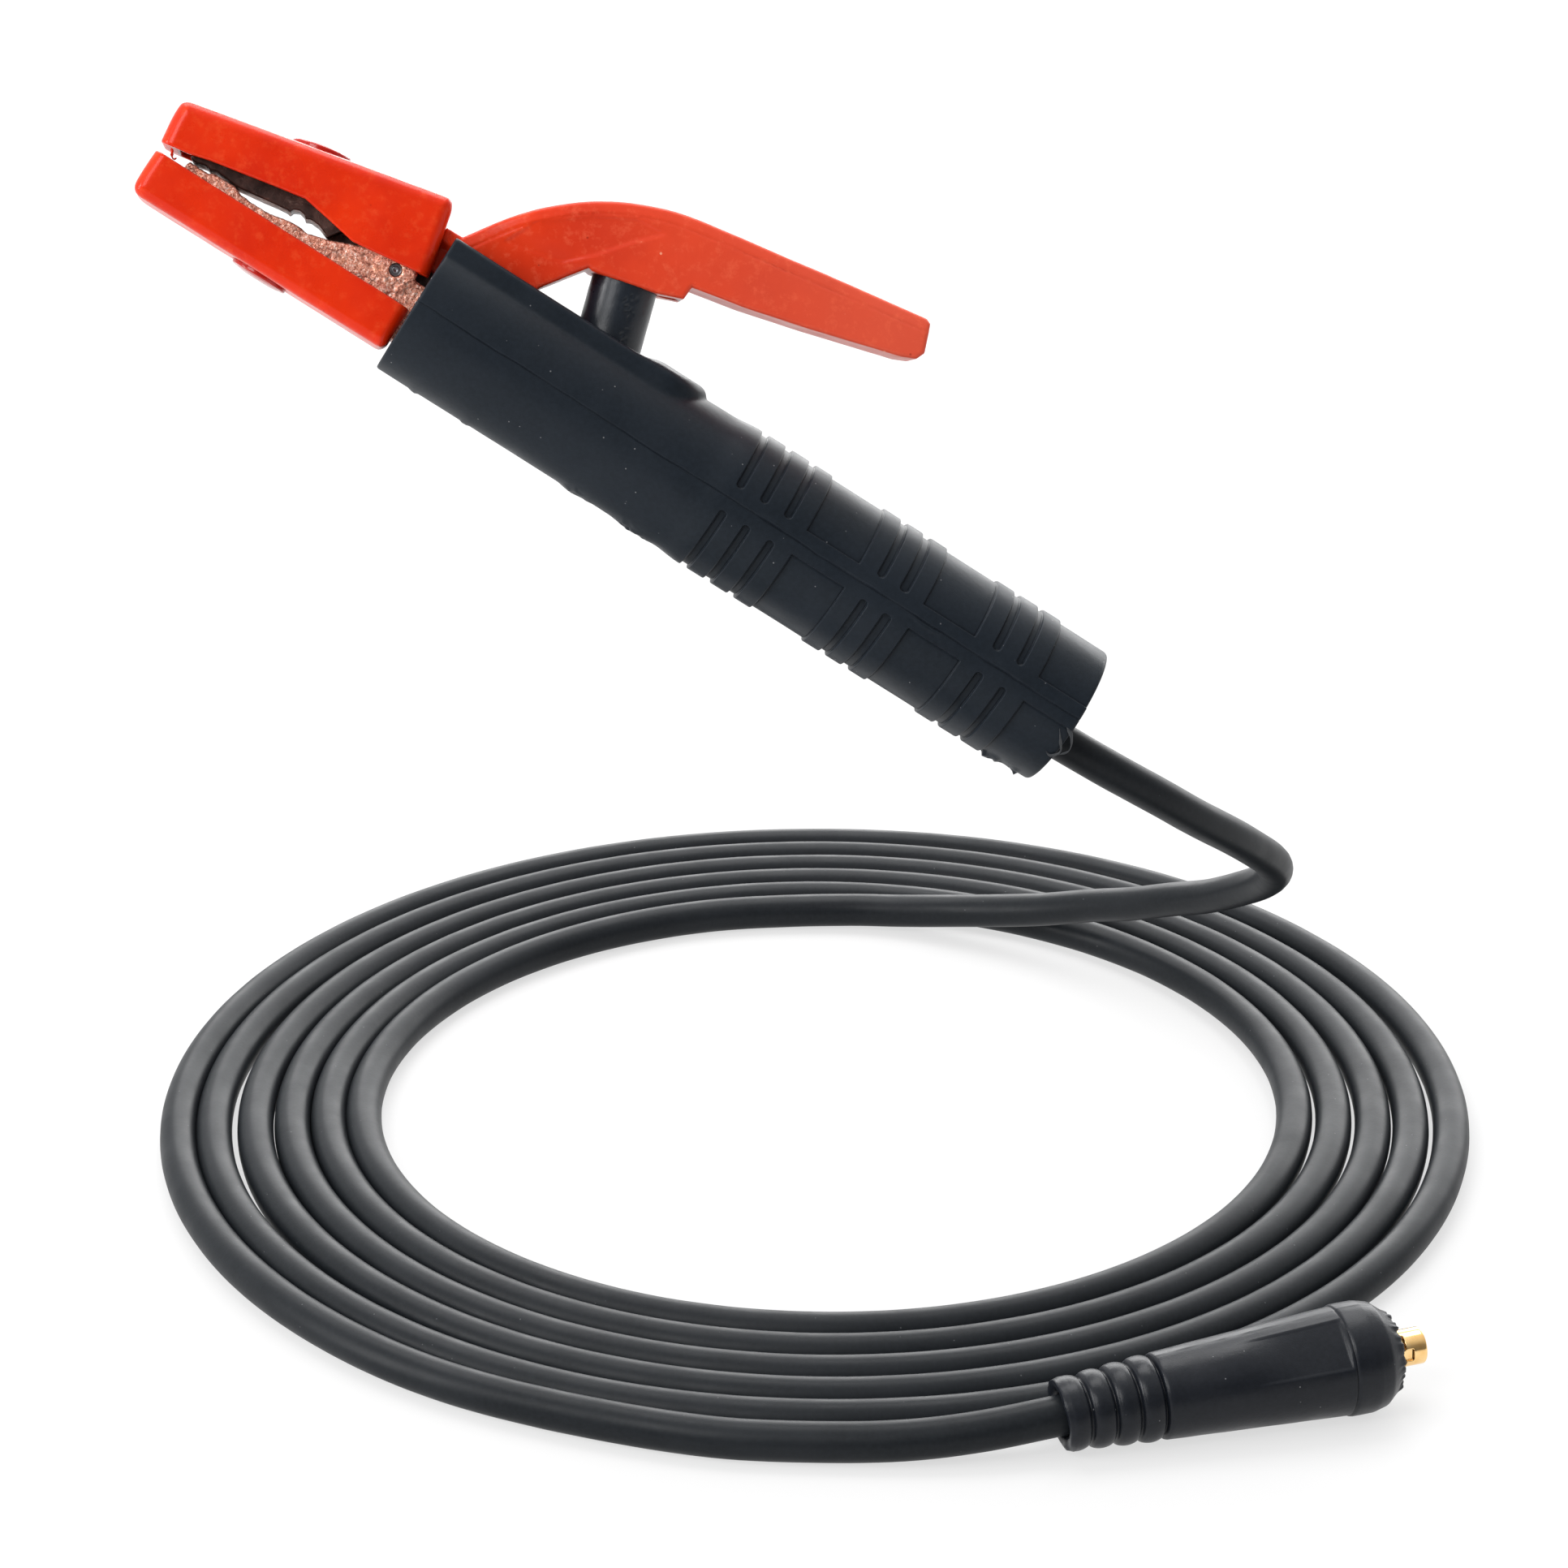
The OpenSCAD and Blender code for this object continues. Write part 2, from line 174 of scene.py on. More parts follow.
def _hash(ix, iy, iz, seed):
    h = (ix.astype(np.int64) * 374761393 + iy.astype(np.int64) * 668265263
         + iz.astype(np.int64) * 2147483647 + seed * 1274126177) & 0xFFFFFFFF
    h = ((h ^ (h >> 13)) * 1274126177) & 0xFFFFFFFF
    h = ((h ^ (h >> 16)) * 2246822519) & 0xFFFFFFFF
    return ((h ^ (h >> 15)) & 0xFFFFFF) / float(0xFFFFFF)


def noise(p, size, seed=0):
    """Smooth value noise from -1 to 1, with bumps about size apart."""
    q = np.asarray(p, float) / size
    i = np.floor(q).astype(np.int64)
    f = q - i
    f = f * f * f * (f * (f * 6 - 15) + 10)
    out = 0
    for dx in (0, 1):
        for dy in (0, 1):
            for dz in (0, 1):
                w = (f[..., 0] if dx else 1 - f[..., 0]) * (f[..., 1] if dy else 1 - f[..., 1]) \
                    * (f[..., 2] if dz else 1 - f[..., 2])
                out = out + w * _hash(i[..., 0] + dx, i[..., 1] + dy, i[..., 2] + dz, seed)
    return out * 2 - 1


def fbm(p, size, seed=0, octaves=3, gain=0.5):
    out, a, total = 0, 1.0, 0.0
    for k in range(octaves):
        out = out + a * noise(p, size / 2 ** k, seed + 31 * k)
        total += a
        a *= gain
    return out / total


def cells(p, size, seed=0):
    """Distance to the nearest of jittered cell points, in cell widths, and that cell's own number."""
    q = np.asarray(p, float) / size
    i = np.floor(q).astype(np.int64)
    best = np.full(q.shape[:-1], 9.0)
    tag = np.zeros(q.shape[:-1])
    for dx in (-1, 0, 1):
        for dy in (-1, 0, 1):
            for dz in (-1, 0, 1):
                c = i + [dx, dy, dz]
                h = [_hash(c[..., 0], c[..., 1], c[..., 2], seed + k) for k in (1, 2, 3, 4)]
                d = np.sqrt(sum((c[..., k] + h[k] - q[..., k]) ** 2 for k in range(3)))
                near = d < best
                best, tag = np.where(near, d, best), np.where(near, h[3], tag)
    return best, tag


def step(a, b, x):
    t = np.clip((np.asarray(x, float) - a) / (b - a), 0, 1)
    return t * t * (3 - 2 * t)


# ---------------------------------------------------------------- distance fields


def poly(px, pz, pts):
    """Signed distance to a polygon's outline, negative inside."""
    v = np.array(pts, float)
    d = np.full(np.broadcast(px, pz).shape, 1e12)
    s = np.ones(d.shape)
    for i in range(len(v)):
        j = i - 1
        ex, ez = v[j] - v[i]
        wx, wz = px - v[i, 0], pz - v[i, 1]
        t = np.clip((wx * ex + wz * ez) / (ex * ex + ez * ez), 0, 1)
        bx, bz = wx - ex * t, wz - ez * t
        d = np.minimum(d, bx * bx + bz * bz)
        c1, c2, c3 = pz >= v[i, 1], pz < v[j, 1], ex * wz > ez * wx
        s = np.where((c1 & c2 & c3) | ~(c1 | c2 | c3), -s, s)
    return s * np.sqrt(d)


def line_dist(px, pz, pts):
    """Distance to an open line of points."""
    v = np.array(pts, float)
    d = np.full(np.broadcast(px, pz).shape, 1e12)
    for a, b in zip(v, v[1:]):
        ex, ez = b - a
        wx, wz = px - a[0], pz - a[1]
        t = np.clip((wx * ex + wz * ez) / (ex * ex + ez * ez), 0, 1)
        d = np.minimum(d, (wx - ex * t) ** 2 + (wz - ez * t) ** 2)
    return np.sqrt(d)


def prism(d2, side, r):
    """An outline's distance and a side distance joined with a rounded edge of radius r."""
    a, b = d2 + r, side + r
    return np.minimum(np.maximum(a, b), 0) + np.hypot(np.maximum(a, 0), np.maximum(b, 0)) - r


def smin(a, b, k):
    h = np.maximum(k - np.abs(a - b), 0) / k
    return np.minimum(a, b) - h * h * k / 4


def smax(a, b, k):
    return -smin(-a, -b, k)


def rounded(pts, r=1.5, n=5):
    """A closed outline with its corners rounded."""
    v = [np.array(p, float) for p in pts]
    out = []
    for i in range(len(v)):
        a, b, c = v[i - 1], v[i], v[(i + 1) % len(v)]
        u, w = a - b, c - b
        lu, lw = np.linalg.norm(u), np.linalg.norm(w)
        k = min(r, 0.48 * lu, 0.48 * lw)
        p, q = b + u / lu * k, b + w / lw * k
        for t in np.linspace(0, 1, n + 1):
            out.append(tuple((1 - t) ** 2 * p + 2 * t * (1 - t) * b + t * t * q))
    return out


def level_mesh(f, lo, hi, h, project=2):
    """Points and quads of the surface where f is 0, in the field's own units."""
    lo, hi = np.array(lo, float), np.array(hi, float)
    n = np.ceil((hi - lo) / h).astype(int) + 1
    ax = [lo[k] + h * np.arange(n[k]) for k in range(3)]
    a = f(ax[0][:, None, None], ax[1][None, :, None], ax[2][None, None, :])
    a = np.clip(np.broadcast_to(a, n), -3 * h, 3 * h).astype(np.float32)
    a[[0, -1]] = 3 * h
    a[:, [0, -1]] = 3 * h
    a[:, :, [0, -1]] = 3 * h
    grid = vdb.FloatGrid(3 * h)
    grid.copyFromArray(a)
    p, q = grid.convertToQuads(0.0)
    p, q = p.astype(float) * h + lo, q.astype(int)
    for _ in range(project):
        v, g = gradient(f, p, h * 0.4)
        p = p - np.clip(v, -0.5 * h, 0.5 * h)[:, None] * g
    return p, q


def gradient(f, p, e):
    x, y, z = p[:, 0], p[:, 1], p[:, 2]
    v = f(x, y, z)
    g = np.stack([f(x + e, y, z) - f(x - e, y, z), f(x, y + e, z) - f(x, y - e, z),
                  f(x, y, z + e) - f(x, y, z - e)], -1)
    return v, g / np.maximum(np.linalg.norm(g, axis=1), 1e-9)[:, None]


# ---------------------------------------------------------------- materials


class Mat:
    """A procedural material. Every pattern is laid out in the piece's own metres."""

    def __init__(self, name, rough=0.5, metallic=0.0, specular=0.5, coat=0.0, coat_rough=0.1,
                 sheen=0.0, ior=1.5):
        self.m = bpy.data.materials.new(name)
        self.m.use_nodes = True
        self.t = self.m.node_tree
        self.n, self.l = self.t.nodes, self.t.links
        self.b = self.n["Principled BSDF"]
        i = self.b.inputs
        i["Roughness"].default_value = rough
        i["Metallic"].default_value = metallic
        i["Specular IOR Level"].default_value = specular
        i["Coat Weight"].default_value = coat
        i["Coat Roughness"].default_value = coat_rough
        i["Sheen Weight"].default_value = sheen
        i["IOR"].default_value = ior
        self.co = self.n.new("ShaderNodeTexCoord").outputs["Object"]
        self.height = None

    def stretch(self, scale):
        m = self.n.new("ShaderNodeMapping")
        m.inputs["Scale"].default_value = scale
        self.l.new(self.co, m.inputs["Vector"])
        return m.outputs["Vector"]

    def noise(self, size, detail=3.0, rough=0.55, vector=None, distortion=0.0):
        t = self.n.new("ShaderNodeTexNoise")
        t.inputs["Scale"].default_value = 1 / size
        t.inputs["Detail"].default_value = detail
        t.inputs["Roughness"].default_value = rough
        t.inputs["Distortion"].default_value = distortion
        self.l.new(vector or self.co, t.inputs["Vector"])
        return t.outputs["Fac"]

    def cells(self, size, feature="F1", out="Distance", vector=None):
        t = self.n.new("ShaderNodeTexVoronoi")
        t.feature = feature
        t.inputs["Scale"].default_value = 1 / size
        self.l.new(vector or self.co, t.inputs["Vector"])
        return t.outputs[out]

    def ramp(self, value, *stops):
        r = self.n.new("ShaderNodeValToRGB")
        e = r.color_ramp.elements
        while len(e) < len(stops):
            e.new(0.5)
        for k, (at, c) in zip(e, stops):
            k.position = at
            k.color = (*c, 1) if isinstance(c, (tuple, list)) else (c, c, c, 1)
        self.l.new(value, r.inputs["Fac"])
        return r.outputs["Color"]

    def mix(self, fac, a, b, mode="MIX"):
        m = self.n.new("ShaderNodeMix")
        m.data_type, m.blend_type = "RGBA", mode
        for socket, value in ((m.inputs[0], fac), (m.inputs[6], a), (m.inputs[7], b)):
            if isinstance(value, (tuple, list)):
                socket.default_value = (*value, 1)
            elif isinstance(value, (int, float)):
                socket.default_value = value
            else:
                self.l.new(value, socket)
        return m.outputs[2]

    def math(self, op, a, b=0.0, clamp=False):
        m = self.n.new("ShaderNodeMath")
        m.operation, m.use_clamp = op, clamp
        for socket, value in zip(m.inputs, (a, b)):
            if isinstance(value, (int, float)):
                socket.default_value = value
            else:
                self.l.new(value, socket)
        return m.outputs[0]

    def color(self, value):
        self.l.new(value, self.b.inputs["Base Color"])
        return self

    def roughness(self, value):
        self.l.new(value, self.b.inputs["Roughness"])
        return self

    def metallic(self, value):
        self.l.new(value, self.b.inputs["Metallic"])
        return self

    def bump(self, value, metres, strength=1.0):
        b = self.n.new("ShaderNodeBump")
        b.inputs["Strength"].default_value = strength
        b.inputs["Distance"].default_value = metres
        self.l.new(value, b.inputs["Height"])
        if self.height is not None:
            self.l.new(self.height, b.inputs["Normal"])
        self.height = b.outputs["Normal"]
        self.l.new(self.height, self.b.inputs["Normal"])
        return self


def specks(m, size, low, high):
    """Small separate dots: 1 inside, 0 outside."""
    d = m.cells(size)
    keep = m.cells(size, out="Color")
    sep = m.n.new("ShaderNodeSeparateColor")
    m.l.new(keep, sep.inputs[0])
    near = m.ramp(d, (0.045, 1.0), (0.09, 0.0))
    some = m.ramp(sep.outputs[0], (low, 0.0), (high, 1.0))
    return m.math("MULTIPLY", near, some)


def rubber(name, dark, light, rough=(0.42, 0.6), grain=0.00022, dust=0.5, coat=0.0, bump=0.00003,
           specular=0.5, sheen=0.0):
    m = Mat(name, specular=specular, coat=coat, coat_rough=0.3, sheen=sheen)
    broad = m.noise(0.03, 3)
    fine = m.noise(0.0012, 3)
    c = m.mix(m.ramp(broad, (0.3, 0.0), (0.7, 1.0)), dark, light)
    c = m.mix(m.math("MULTIPLY", m.ramp(fine, (0.35, 0.0), (0.75, 1.0)), 0.35), c,
              tuple(min(1, 1.5 * v) for v in light))
    dots = specks(m, 0.0026, 0.80, 0.86)
    c = m.mix(m.math("MULTIPLY", dots, dust), c, (0.22, 0.22, 0.23))
    m.color(c)
    r = m.ramp(m.noise(0.011, 4), (0.3, rough[0]), (0.7, rough[1]))
    m.roughness(r)
    m.bump(m.noise(grain, 2), bump)
    m.bump(m.noise(0.006, 3), bump * 3)
    return m.m


def red_plastic(name, deep, base, pale, rough=(0.3, 0.45), coat=0.25, scuff=0.35, bump=0.00002,
                fade=None):
    m = Mat(name, coat=coat, coat_rough=0.16, specular=0.16)
    broad = m.noise(0.022, 4, 0.6)
    c = m.mix(m.ramp(broad, (0.32, 0.0), (0.68, 1.0)), base, deep)
    if fade:  # painted sheen: paler towards one end, where the tail's satin reflection is painted into the colour
        sep = m.n.new("ShaderNodeSeparateXYZ")
        m.l.new(m.co, sep.inputs[0])
        far = m.ramp(m.math("MULTIPLY_ADD", sep.outputs[0], fade[0]), (0.0, 0.0), (1.0, fade[2]))
        sep_add = far.node.inputs["Fac"].links[0].from_node
        sep_add.inputs[2].default_value = fade[1]
        c = m.mix(far, c, fade[3])
    mottle = m.noise(0.0028, 5, 0.7)
    c = m.mix(m.math("MULTIPLY", m.ramp(mottle, (0.52, 0.0), (0.78, 1.0)), scuff), c, pale)
    dark = specks(m, 0.0040, 0.84, 0.9)
    c = m.mix(m.math("MULTIPLY", dark, 0.55), c, tuple(0.35 * v for v in deep))
    light = specks(m, 0.0046, 0.84, 0.9)
    c = m.mix(m.math("MULTIPLY", light, 0.6), c, (0.9, 0.45, 0.28))
    m.color(c)
    m.roughness(m.ramp(m.noise(0.009, 4), (0.3, rough[0]), (0.72, rough[1])))
    m.bump(m.noise(0.0006, 2), bump)
    m.bump(m.noise(0.008, 2), bump * 5)
    return m.m


def metal(name, dark, light, rough=(0.25, 0.45), size=0.003, bump=0.00002, scale=(1, 1, 1), fleck=None):
    m = Mat(name, metallic=1.0)
    v = m.stretch(scale)
    c = m.ramp(m.noise(size, 4, 0.6, vector=v), (0.3, dark), (0.7, light))
    if fleck:
        c = m.mix(m.math("MULTIPLY", specks(m, 0.003, 0.6, 0.7), 0.6), c, fleck)
    m.color(c)
    m.roughness(m.ramp(m.noise(size * 2, 3, vector=v), (0.3, rough[0]), (0.7, rough[1])))
    m.bump(m.noise(size / 3, 3, vector=v), bump)
    return m.m


def cast_copper():
    m = Mat("cast_copper", metallic=0.55, specular=0.6)
    fine = m.noise(0.00055, 3, 0.7)
    c = m.ramp(fine, (0.34, (0.20, 0.055, 0.035)), (0.44, (0.66, 0.24, 0.15)),
               (0.56, (0.96, 0.48, 0.35)), (0.66, (1.0, 0.86, 0.78)))
    cr = m.cells(0.0021, "DISTANCE_TO_EDGE")
    crack = m.math("MULTIPLY", m.ramp(cr, (0.0, 1.0), (0.10, 0.0)), m.ramp(m.noise(0.004, 2), (0.42, 0.0), (0.6, 0.75)))
    c = m.mix(crack, c, (0.10, 0.03, 0.02))
    c = m.mix(m.ramp(m.noise(0.006, 3), (0.58, 0.0), (0.75, 0.35)), c, (0.90, 0.42, 0.20))
    m.color(c)
    m.roughness(m.ramp(m.noise(0.0009, 3), (0.3, 0.18), (0.7, 0.45)))
    m.bump(m.noise(0.0004, 3, 0.7), 0.00014)
    return m.m


# The upper jaw's copper casting, coloured very dark: painted shade.
def dark_bronze():
    m = Mat("dark_bronze", metallic=0.55, specular=0.5)
    c = m.ramp(m.noise(0.004, 4, 0.6), (0.3, (0.022, 0.010, 0.008)), (0.55, (0.06, 0.028, 0.022)),
               (0.75, (0.13, 0.065, 0.05)))
    # thin pale lines: painted highlights, and scratches
    highlight_and_scratch_lines = m.noise(0.0035, 4, 0.5, vector=m.stretch((1, 1, 1)), distortion=1.2)
    c = m.mix(m.ramp(highlight_and_scratch_lines, (0.495, 0.0), (0.5, 0.4), (0.505, 0.0)), c, (0.35, 0.24, 0.2))
    m.color(c)
    m.roughness(m.ramp(m.noise(0.002, 3), (0.3, 0.3), (0.7, 0.55)))
    m.bump(m.noise(0.0008, 3), 0.00006)
    return m.m


M_CABLE = rubber("cable_rubber", (0.0058, 0.0074, 0.0094), (0.0112, 0.0132, 0.0158), rough=(0.38, 0.48),
                 grain=0.00035, dust=0.3, bump=0.000015, specular=0.16)
M_HANDLE = rubber("handle_black", (0.0054, 0.0088, 0.0132), (0.0102, 0.0144, 0.0205), rough=(0.38, 0.50),
                  grain=0.0003, dust=0.7, bump=0.00002, specular=0.17)
M_PLUG = rubber("plug_rubber", (0.0045, 0.0060, 0.0090), (0.0090, 0.0105, 0.0145), rough=(0.28, 0.42),
                grain=0.0004, dust=0.6, bump=0.00003, specular=0.24)
M_SLEEVE = rubber("sleeve_black", (0.005, 0.0080, 0.013), (0.010, 0.014, 0.021), rough=(0.26, 0.38),
                  grain=0.0005, dust=0.3, coat=0.10, bump=0.00003, specular=0.32)
M_RED = red_plastic("insulator_red", (0.57, 0.015, 0.0008), (0.71, 0.028, 0.0014), (0.80, 0.10, 0.026),
                    rough=(0.24, 0.36), coat=0.14, scuff=0.45)
M_CAP = red_plastic("cap_red", (0.36, 0.007, 0.002), (0.46, 0.012, 0.003), (0.60, 0.05, 0.03),
                    rough=(0.16, 0.3), coat=0.5, scuff=0.2)
# the lever's paler tail colour (fade) is a painted sheen, a painted reflection
M_LEVER = red_plastic("lever_red", (0.56, 0.022, 0.002), (0.68, 0.036, 0.005), (0.78, 0.13, 0.06),
                      rough=(0.30, 0.42), coat=0.06, scuff=0.6, bump=0.00003,
                      fade=(11.0, 0.9, 0.62, (0.68, 0.110, 0.060)))
M_FILM = rubber("handle_flash", (0.020, 0.023, 0.027), (0.045, 0.048, 0.052), rough=(0.30, 0.42),
                grain=0.0003, dust=0.3, bump=0.00002, specular=0.4)
M_COPPER = cast_copper()
M_JAW_PAINTED_SHADE = dark_bronze()
M_STEEL = metal("steel", (0.20, 0.20, 0.21), (0.42, 0.42, 0.44), rough=(0.25, 0.45))
M_SPRING = metal("spring_steel", (0.14, 0.14, 0.15), (0.34, 0.34, 0.36), rough=(0.25, 0.4))
M_BRASS = metal("brass", (0.90, 0.54, 0.19), (1.0, 0.72, 0.36), rough=(0.10, 0.2), size=0.004,
                bump=0.000006)
M_WIRE = metal("copper", (0.55, 0.24, 0.13), (0.85, 0.45, 0.28), rough=(0.25, 0.45), size=0.0008,
               bump=0.0001, scale=(1, 1, 1))


def floor_material():
    m = Mat("floor", rough=0.95, specular=0.0)
    m.color(m.ramp(m.noise(0.4, 2), (0.3, (0.20, 0.20, 0.20)), (0.7, (0.22, 0.22, 0.22))))
    m.b.inputs["Emission Color"].default_value = (1, 1, 1, 1)
    m.b.inputs["Emission Strength"].default_value = 0.66
    return m.m


floor = make("floor", [(-6, -4, FLOOR / 1000), (6, -4, FLOOR / 1000), (6, 9, FLOOR / 1000),
                       (-6, 9, FLOOR / 1000)], [[0, 1, 2, 3]], floor_material(), smooth=False)


def area(name, at, towards, size, power, colour=(1, 1, 1)):
    d = bpy.data.lights.new(name, "AREA")
    d.shape, d.size, d.size_y, d.energy, d.color = "RECTANGLE", size[0], size[1], power, colour
    o = bpy.data.objects.new(name, d)
    SCENE.collection.objects.link(o)
    o.location = at
    o.rotation_euler = (Vector(towards) - Vector(at)).to_track_quat("-Z", "Y").to_euler()
    return o


area("top_light", (-0.15, 0.75, 1.5), (0, 0.0, -0.1), (1.7, 1.1), 26)
area("key_light", (-0.9, -1.25, 1.25), (0, 0, 0), (0.9, 0.9), 16)
area("side_light", (-1.35, -0.45, 0.35), (-0.1, 0, 0.05), (0.35, 0.9), 12)
area("back_light", (0.45, 1.75, 0.42), (0, 0.05, -0.05), (2.6, 1.05), 34)
world = bpy.data.worlds.new("world")
SCENE.world = world
world.use_nodes = True


def studio_world():
    """White above and behind, dimmer on the camera's side, as a flagged studio is."""
    t = world.node_tree
    co = t.nodes.new("ShaderNodeTexCoord").outputs["Generated"]
    dot = t.nodes.new("ShaderNodeVectorMath")
    dot.operation = "DOT_PRODUCT"
    dot.inputs[1].default_value = (-0.12, 0.66, 0.74)
    t.links.new(co, dot.inputs[0])
    half = t.nodes.new("ShaderNodeMath")
    half.operation = "MULTIPLY_ADD"
    half.inputs[1].default_value = half.inputs[2].default_value = 0.5
    t.links.new(dot.outputs["Value"], half.inputs[0])
    r = t.nodes.new("ShaderNodeValToRGB")
    e = r.color_ramp.elements
    e.new(0.5), e.new(0.5)
    for k, (at, v) in zip(e, ((0.15, 0.10), (0.45, 0.22), (0.70, 0.62), (1.0, 0.95))):
        k.position, k.color = at, (v, v, v, 1)
    t.links.new(half.outputs[0], r.inputs["Fac"])
    t.links.new(r.outputs["Color"], t.nodes["Background"].inputs["Color"])
    t.nodes["Background"].inputs["Strength"].default_value = 1.35


studio_world()

# ---------------------------------------------------------------- the cable
LEAD = [(34.5, -6, -30), (44, -6.5, -35.5), (53.5, -7.5, -41), (67.5, -6.5, -50), (80.5, -1, -59.5),
        (91.5, 7, -69), (101.5, 17, -78), (109.5, 28.5, -87), (116, 41, -96), (119, 54.5, -105),
        (118, 68, -114), (113, 81.5, -122.5), (105.5, 94, -130.5), (96.5, 106.5, -137),
        (86, 117.5, -143.5), (74.5, 128.5, -149), (62.5, 138, -154.5), (49, 147, -159),
        (34.5, 154.5, -162.5), (19.5, 160, -165), (3, 163, -166)]
# how far each turn lies off the even spiral, by angle: the gaps between turns
SWAY = [(90, 0), (188, 0.3), (270, -0.6), (349, -1.5), (450, -0.5), (548, -0.2), (630, -0.3),
        (709, -0.8), (810, -0.3), (908, -0.4), (990, 0.0), (1069, -0.1), (1170, 0.1), (1268, -0.4),
        (1350, 0.2), (1429, 0.1), (1530, 0.5), (1628, 0.9), (1710, 0.5), (1789, 0.9), (1820, 1.9), (1845, 2.3), (1866, 1.7), (1890, 0.7),
        (1988, 0.5), (2040, 0)]


def spiral(a):
    return 123.8 + 9.98 * (a - 90) / 360 + np.interp(a, [s[0] for s in SWAY], [s[1] for s in SWAY])


def smooth_line(points, spacing):
    """A centripetal curve through the points, with even steps."""
    p = [np.array(q, float) for q in points]
    p = [2 * p[0] - p[1], *p, 2 * p[-1] - p[-2]]
    out = []
    for a, b, c, d in zip(p, p[1:], p[2:], p[3:]):
        t0, t1 = 0.0, np.linalg.norm(b - a) ** 0.5
        t2 = t1 + np.linalg.norm(c - b) ** 0.5
        t3 = t2 + np.linalg.norm(d - c) ** 0.5
        for t in np.linspace(t1, t2, 9)[:-1]:
            A1 = (t1 - t) / (t1 - t0) * a + (t - t0) / (t1 - t0) * b
            A2 = (t2 - t) / (t2 - t1) * b + (t - t1) / (t2 - t1) * c
            A3 = (t3 - t) / (t3 - t2) * c + (t - t2) / (t3 - t2) * d
            B1 = (t2 - t) / (t2 - t0) * A1 + (t - t0) / (t2 - t0) * A2
            B2 = (t3 - t) / (t3 - t1) * A2 + (t - t1) / (t3 - t1) * A3
            out.append((t2 - t) / (t2 - t1) * B1 + (t - t1) / (t2 - t1) * B2)
    out.append(p[-2])
    out = np.array(out)
    along = np.r_[0, np.cumsum(np.linalg.norm(np.diff(out, axis=0), axis=1))]
    at = np.linspace(0, along[-1], int(along[-1] / spacing) + 1)
    return np.stack([np.interp(at, along, out[:, k]) for k in range(3)], 1)


turns = [(COIL[0] + spiral(a) * math.cos(math.radians(a)), COIL[1] + spiral(a) * math.sin(math.radians(a)),
          FLOOR + 5) for a in np.arange(105, 2050, 15)]
tail = [(-36.5, -136, FLOOR + 5), (-7, -139, FLOOR + 5), (14, -139.5, FLOOR + 5.8),
        (32.5, -138, FLOOR + 7.6)] + [tuple(PLUG_P + PLUG[:, 0] * s) for s in (0, 15, 30, 46)]
route = smooth_line(LEAD + turns + tail, 3.2)
for _ in range(3):  # one smooth run, with no corner where the stretches meet
    route[1:-1] = 0.25 * route[:-2] + 0.5 * route[1:-1] + 0.25 * route[2:]
CABLE_R = 4.93


def sweep(line, radius, sides, wobble=0.0, seed=0):
    """Rings round a line, carried along without twisting. Returns points by ring."""
    t = np.gradient(line, axis=0)
    t /= np.linalg.norm(t, axis=1)[:, None]
    n = np.zeros_like(t)
    n[0] = np.cross(t[0], [0, 0, 1])
    n[0] /= np.linalg.norm(n[0])
    for i in range(1, len(t)):
        v = n[i - 1] - t[i] * (n[i - 1] @ t[i])
        n[i] = v / np.linalg.norm(v)
    b = np.cross(t, n)
    a = np.arange(sides) * 2 * math.pi / sides
    d = np.cos(a)[None, :, None] * n[:, None] + np.sin(a)[None, :, None] * b[:, None]
    r = np.broadcast_to(np.asarray(radius, float).reshape(-1, 1) if np.ndim(radius) else radius, d.shape[:2])
    p = line[:, None] + d * r[..., None]
    if wobble:
        p = p + d * (wobble * fbm(p, 9, seed))[..., None]
    return p


def tube(name, line, radius, sides, to_row, material, wobble=0.0, seed=0):
    p = sweep(line, radius, sides, wobble, seed)
    n = len(line)
    verts = p.reshape(-1, 3)
    faces = [list(f) for f in grid_faces(n, sides, wrap=True)]
    base = len(verts)
    verts = np.vstack([verts, line[0], line[-1]])
    for j in range(sides):
        faces.append([base, (j + 1) % sides, j])
        faces.append([base + 1, (n - 1) * sides + j, (n - 1) * sides + (j + 1) % sides])
    o = make(name, to_row(verts), faces, material)
    import bmesh
    bm = bmesh.new()
    bm.from_mesh(o.data)
    bmesh.ops.recalc_face_normals(bm, faces=bm.faces)
    bm.to_mesh(o.data)
    bm.free()
    return o


cable = tube("cable", route, CABLE_R, 22, lambda p: p / 1000, M_CABLE, wobble=0.045, seed=3)
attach(cable, "holder")
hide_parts("cable_lead", "cable_coil", "cable_tail")

# ---------------------------------------------------------------- the handle
POCKETS = [(88.3, 90.6, 1), (95.2, 97.5, 1), (102.2, 104.5, 1), (109.1, 124.9, 0), (129.6, 131.9, 1),
           (136.2, 138.9, 1), (143.4, 159.0, 0), (163.7, 166.1, 1), (170.8, 172.9, 1), (177.6, 200.0, 0)]
HANDLE_LEN, BORE, SLOT_HW, COLLAR_HW, COLLAR_TOP = 192.4, 14.6, 8.9, 12.4, 18.6
FRONT = -1.2


def collar_field(x, y, z):
    over = np.maximum(x - 60.2, 0)
    plan = np.where(x > 60.2, np.hypot(over, y) - COLLAR_HW, np.abs(y) - COLLAR_HW)
    # the end behind the spring's sleeve stands a little higher
    return prism(plan, z - COLLAR_TOP - 0.05 - 2.1 * step(50, 59, x) * (1 - (y / 13.5) ** 2),
                 1.5 + 1.9 * step(60, 69, x))


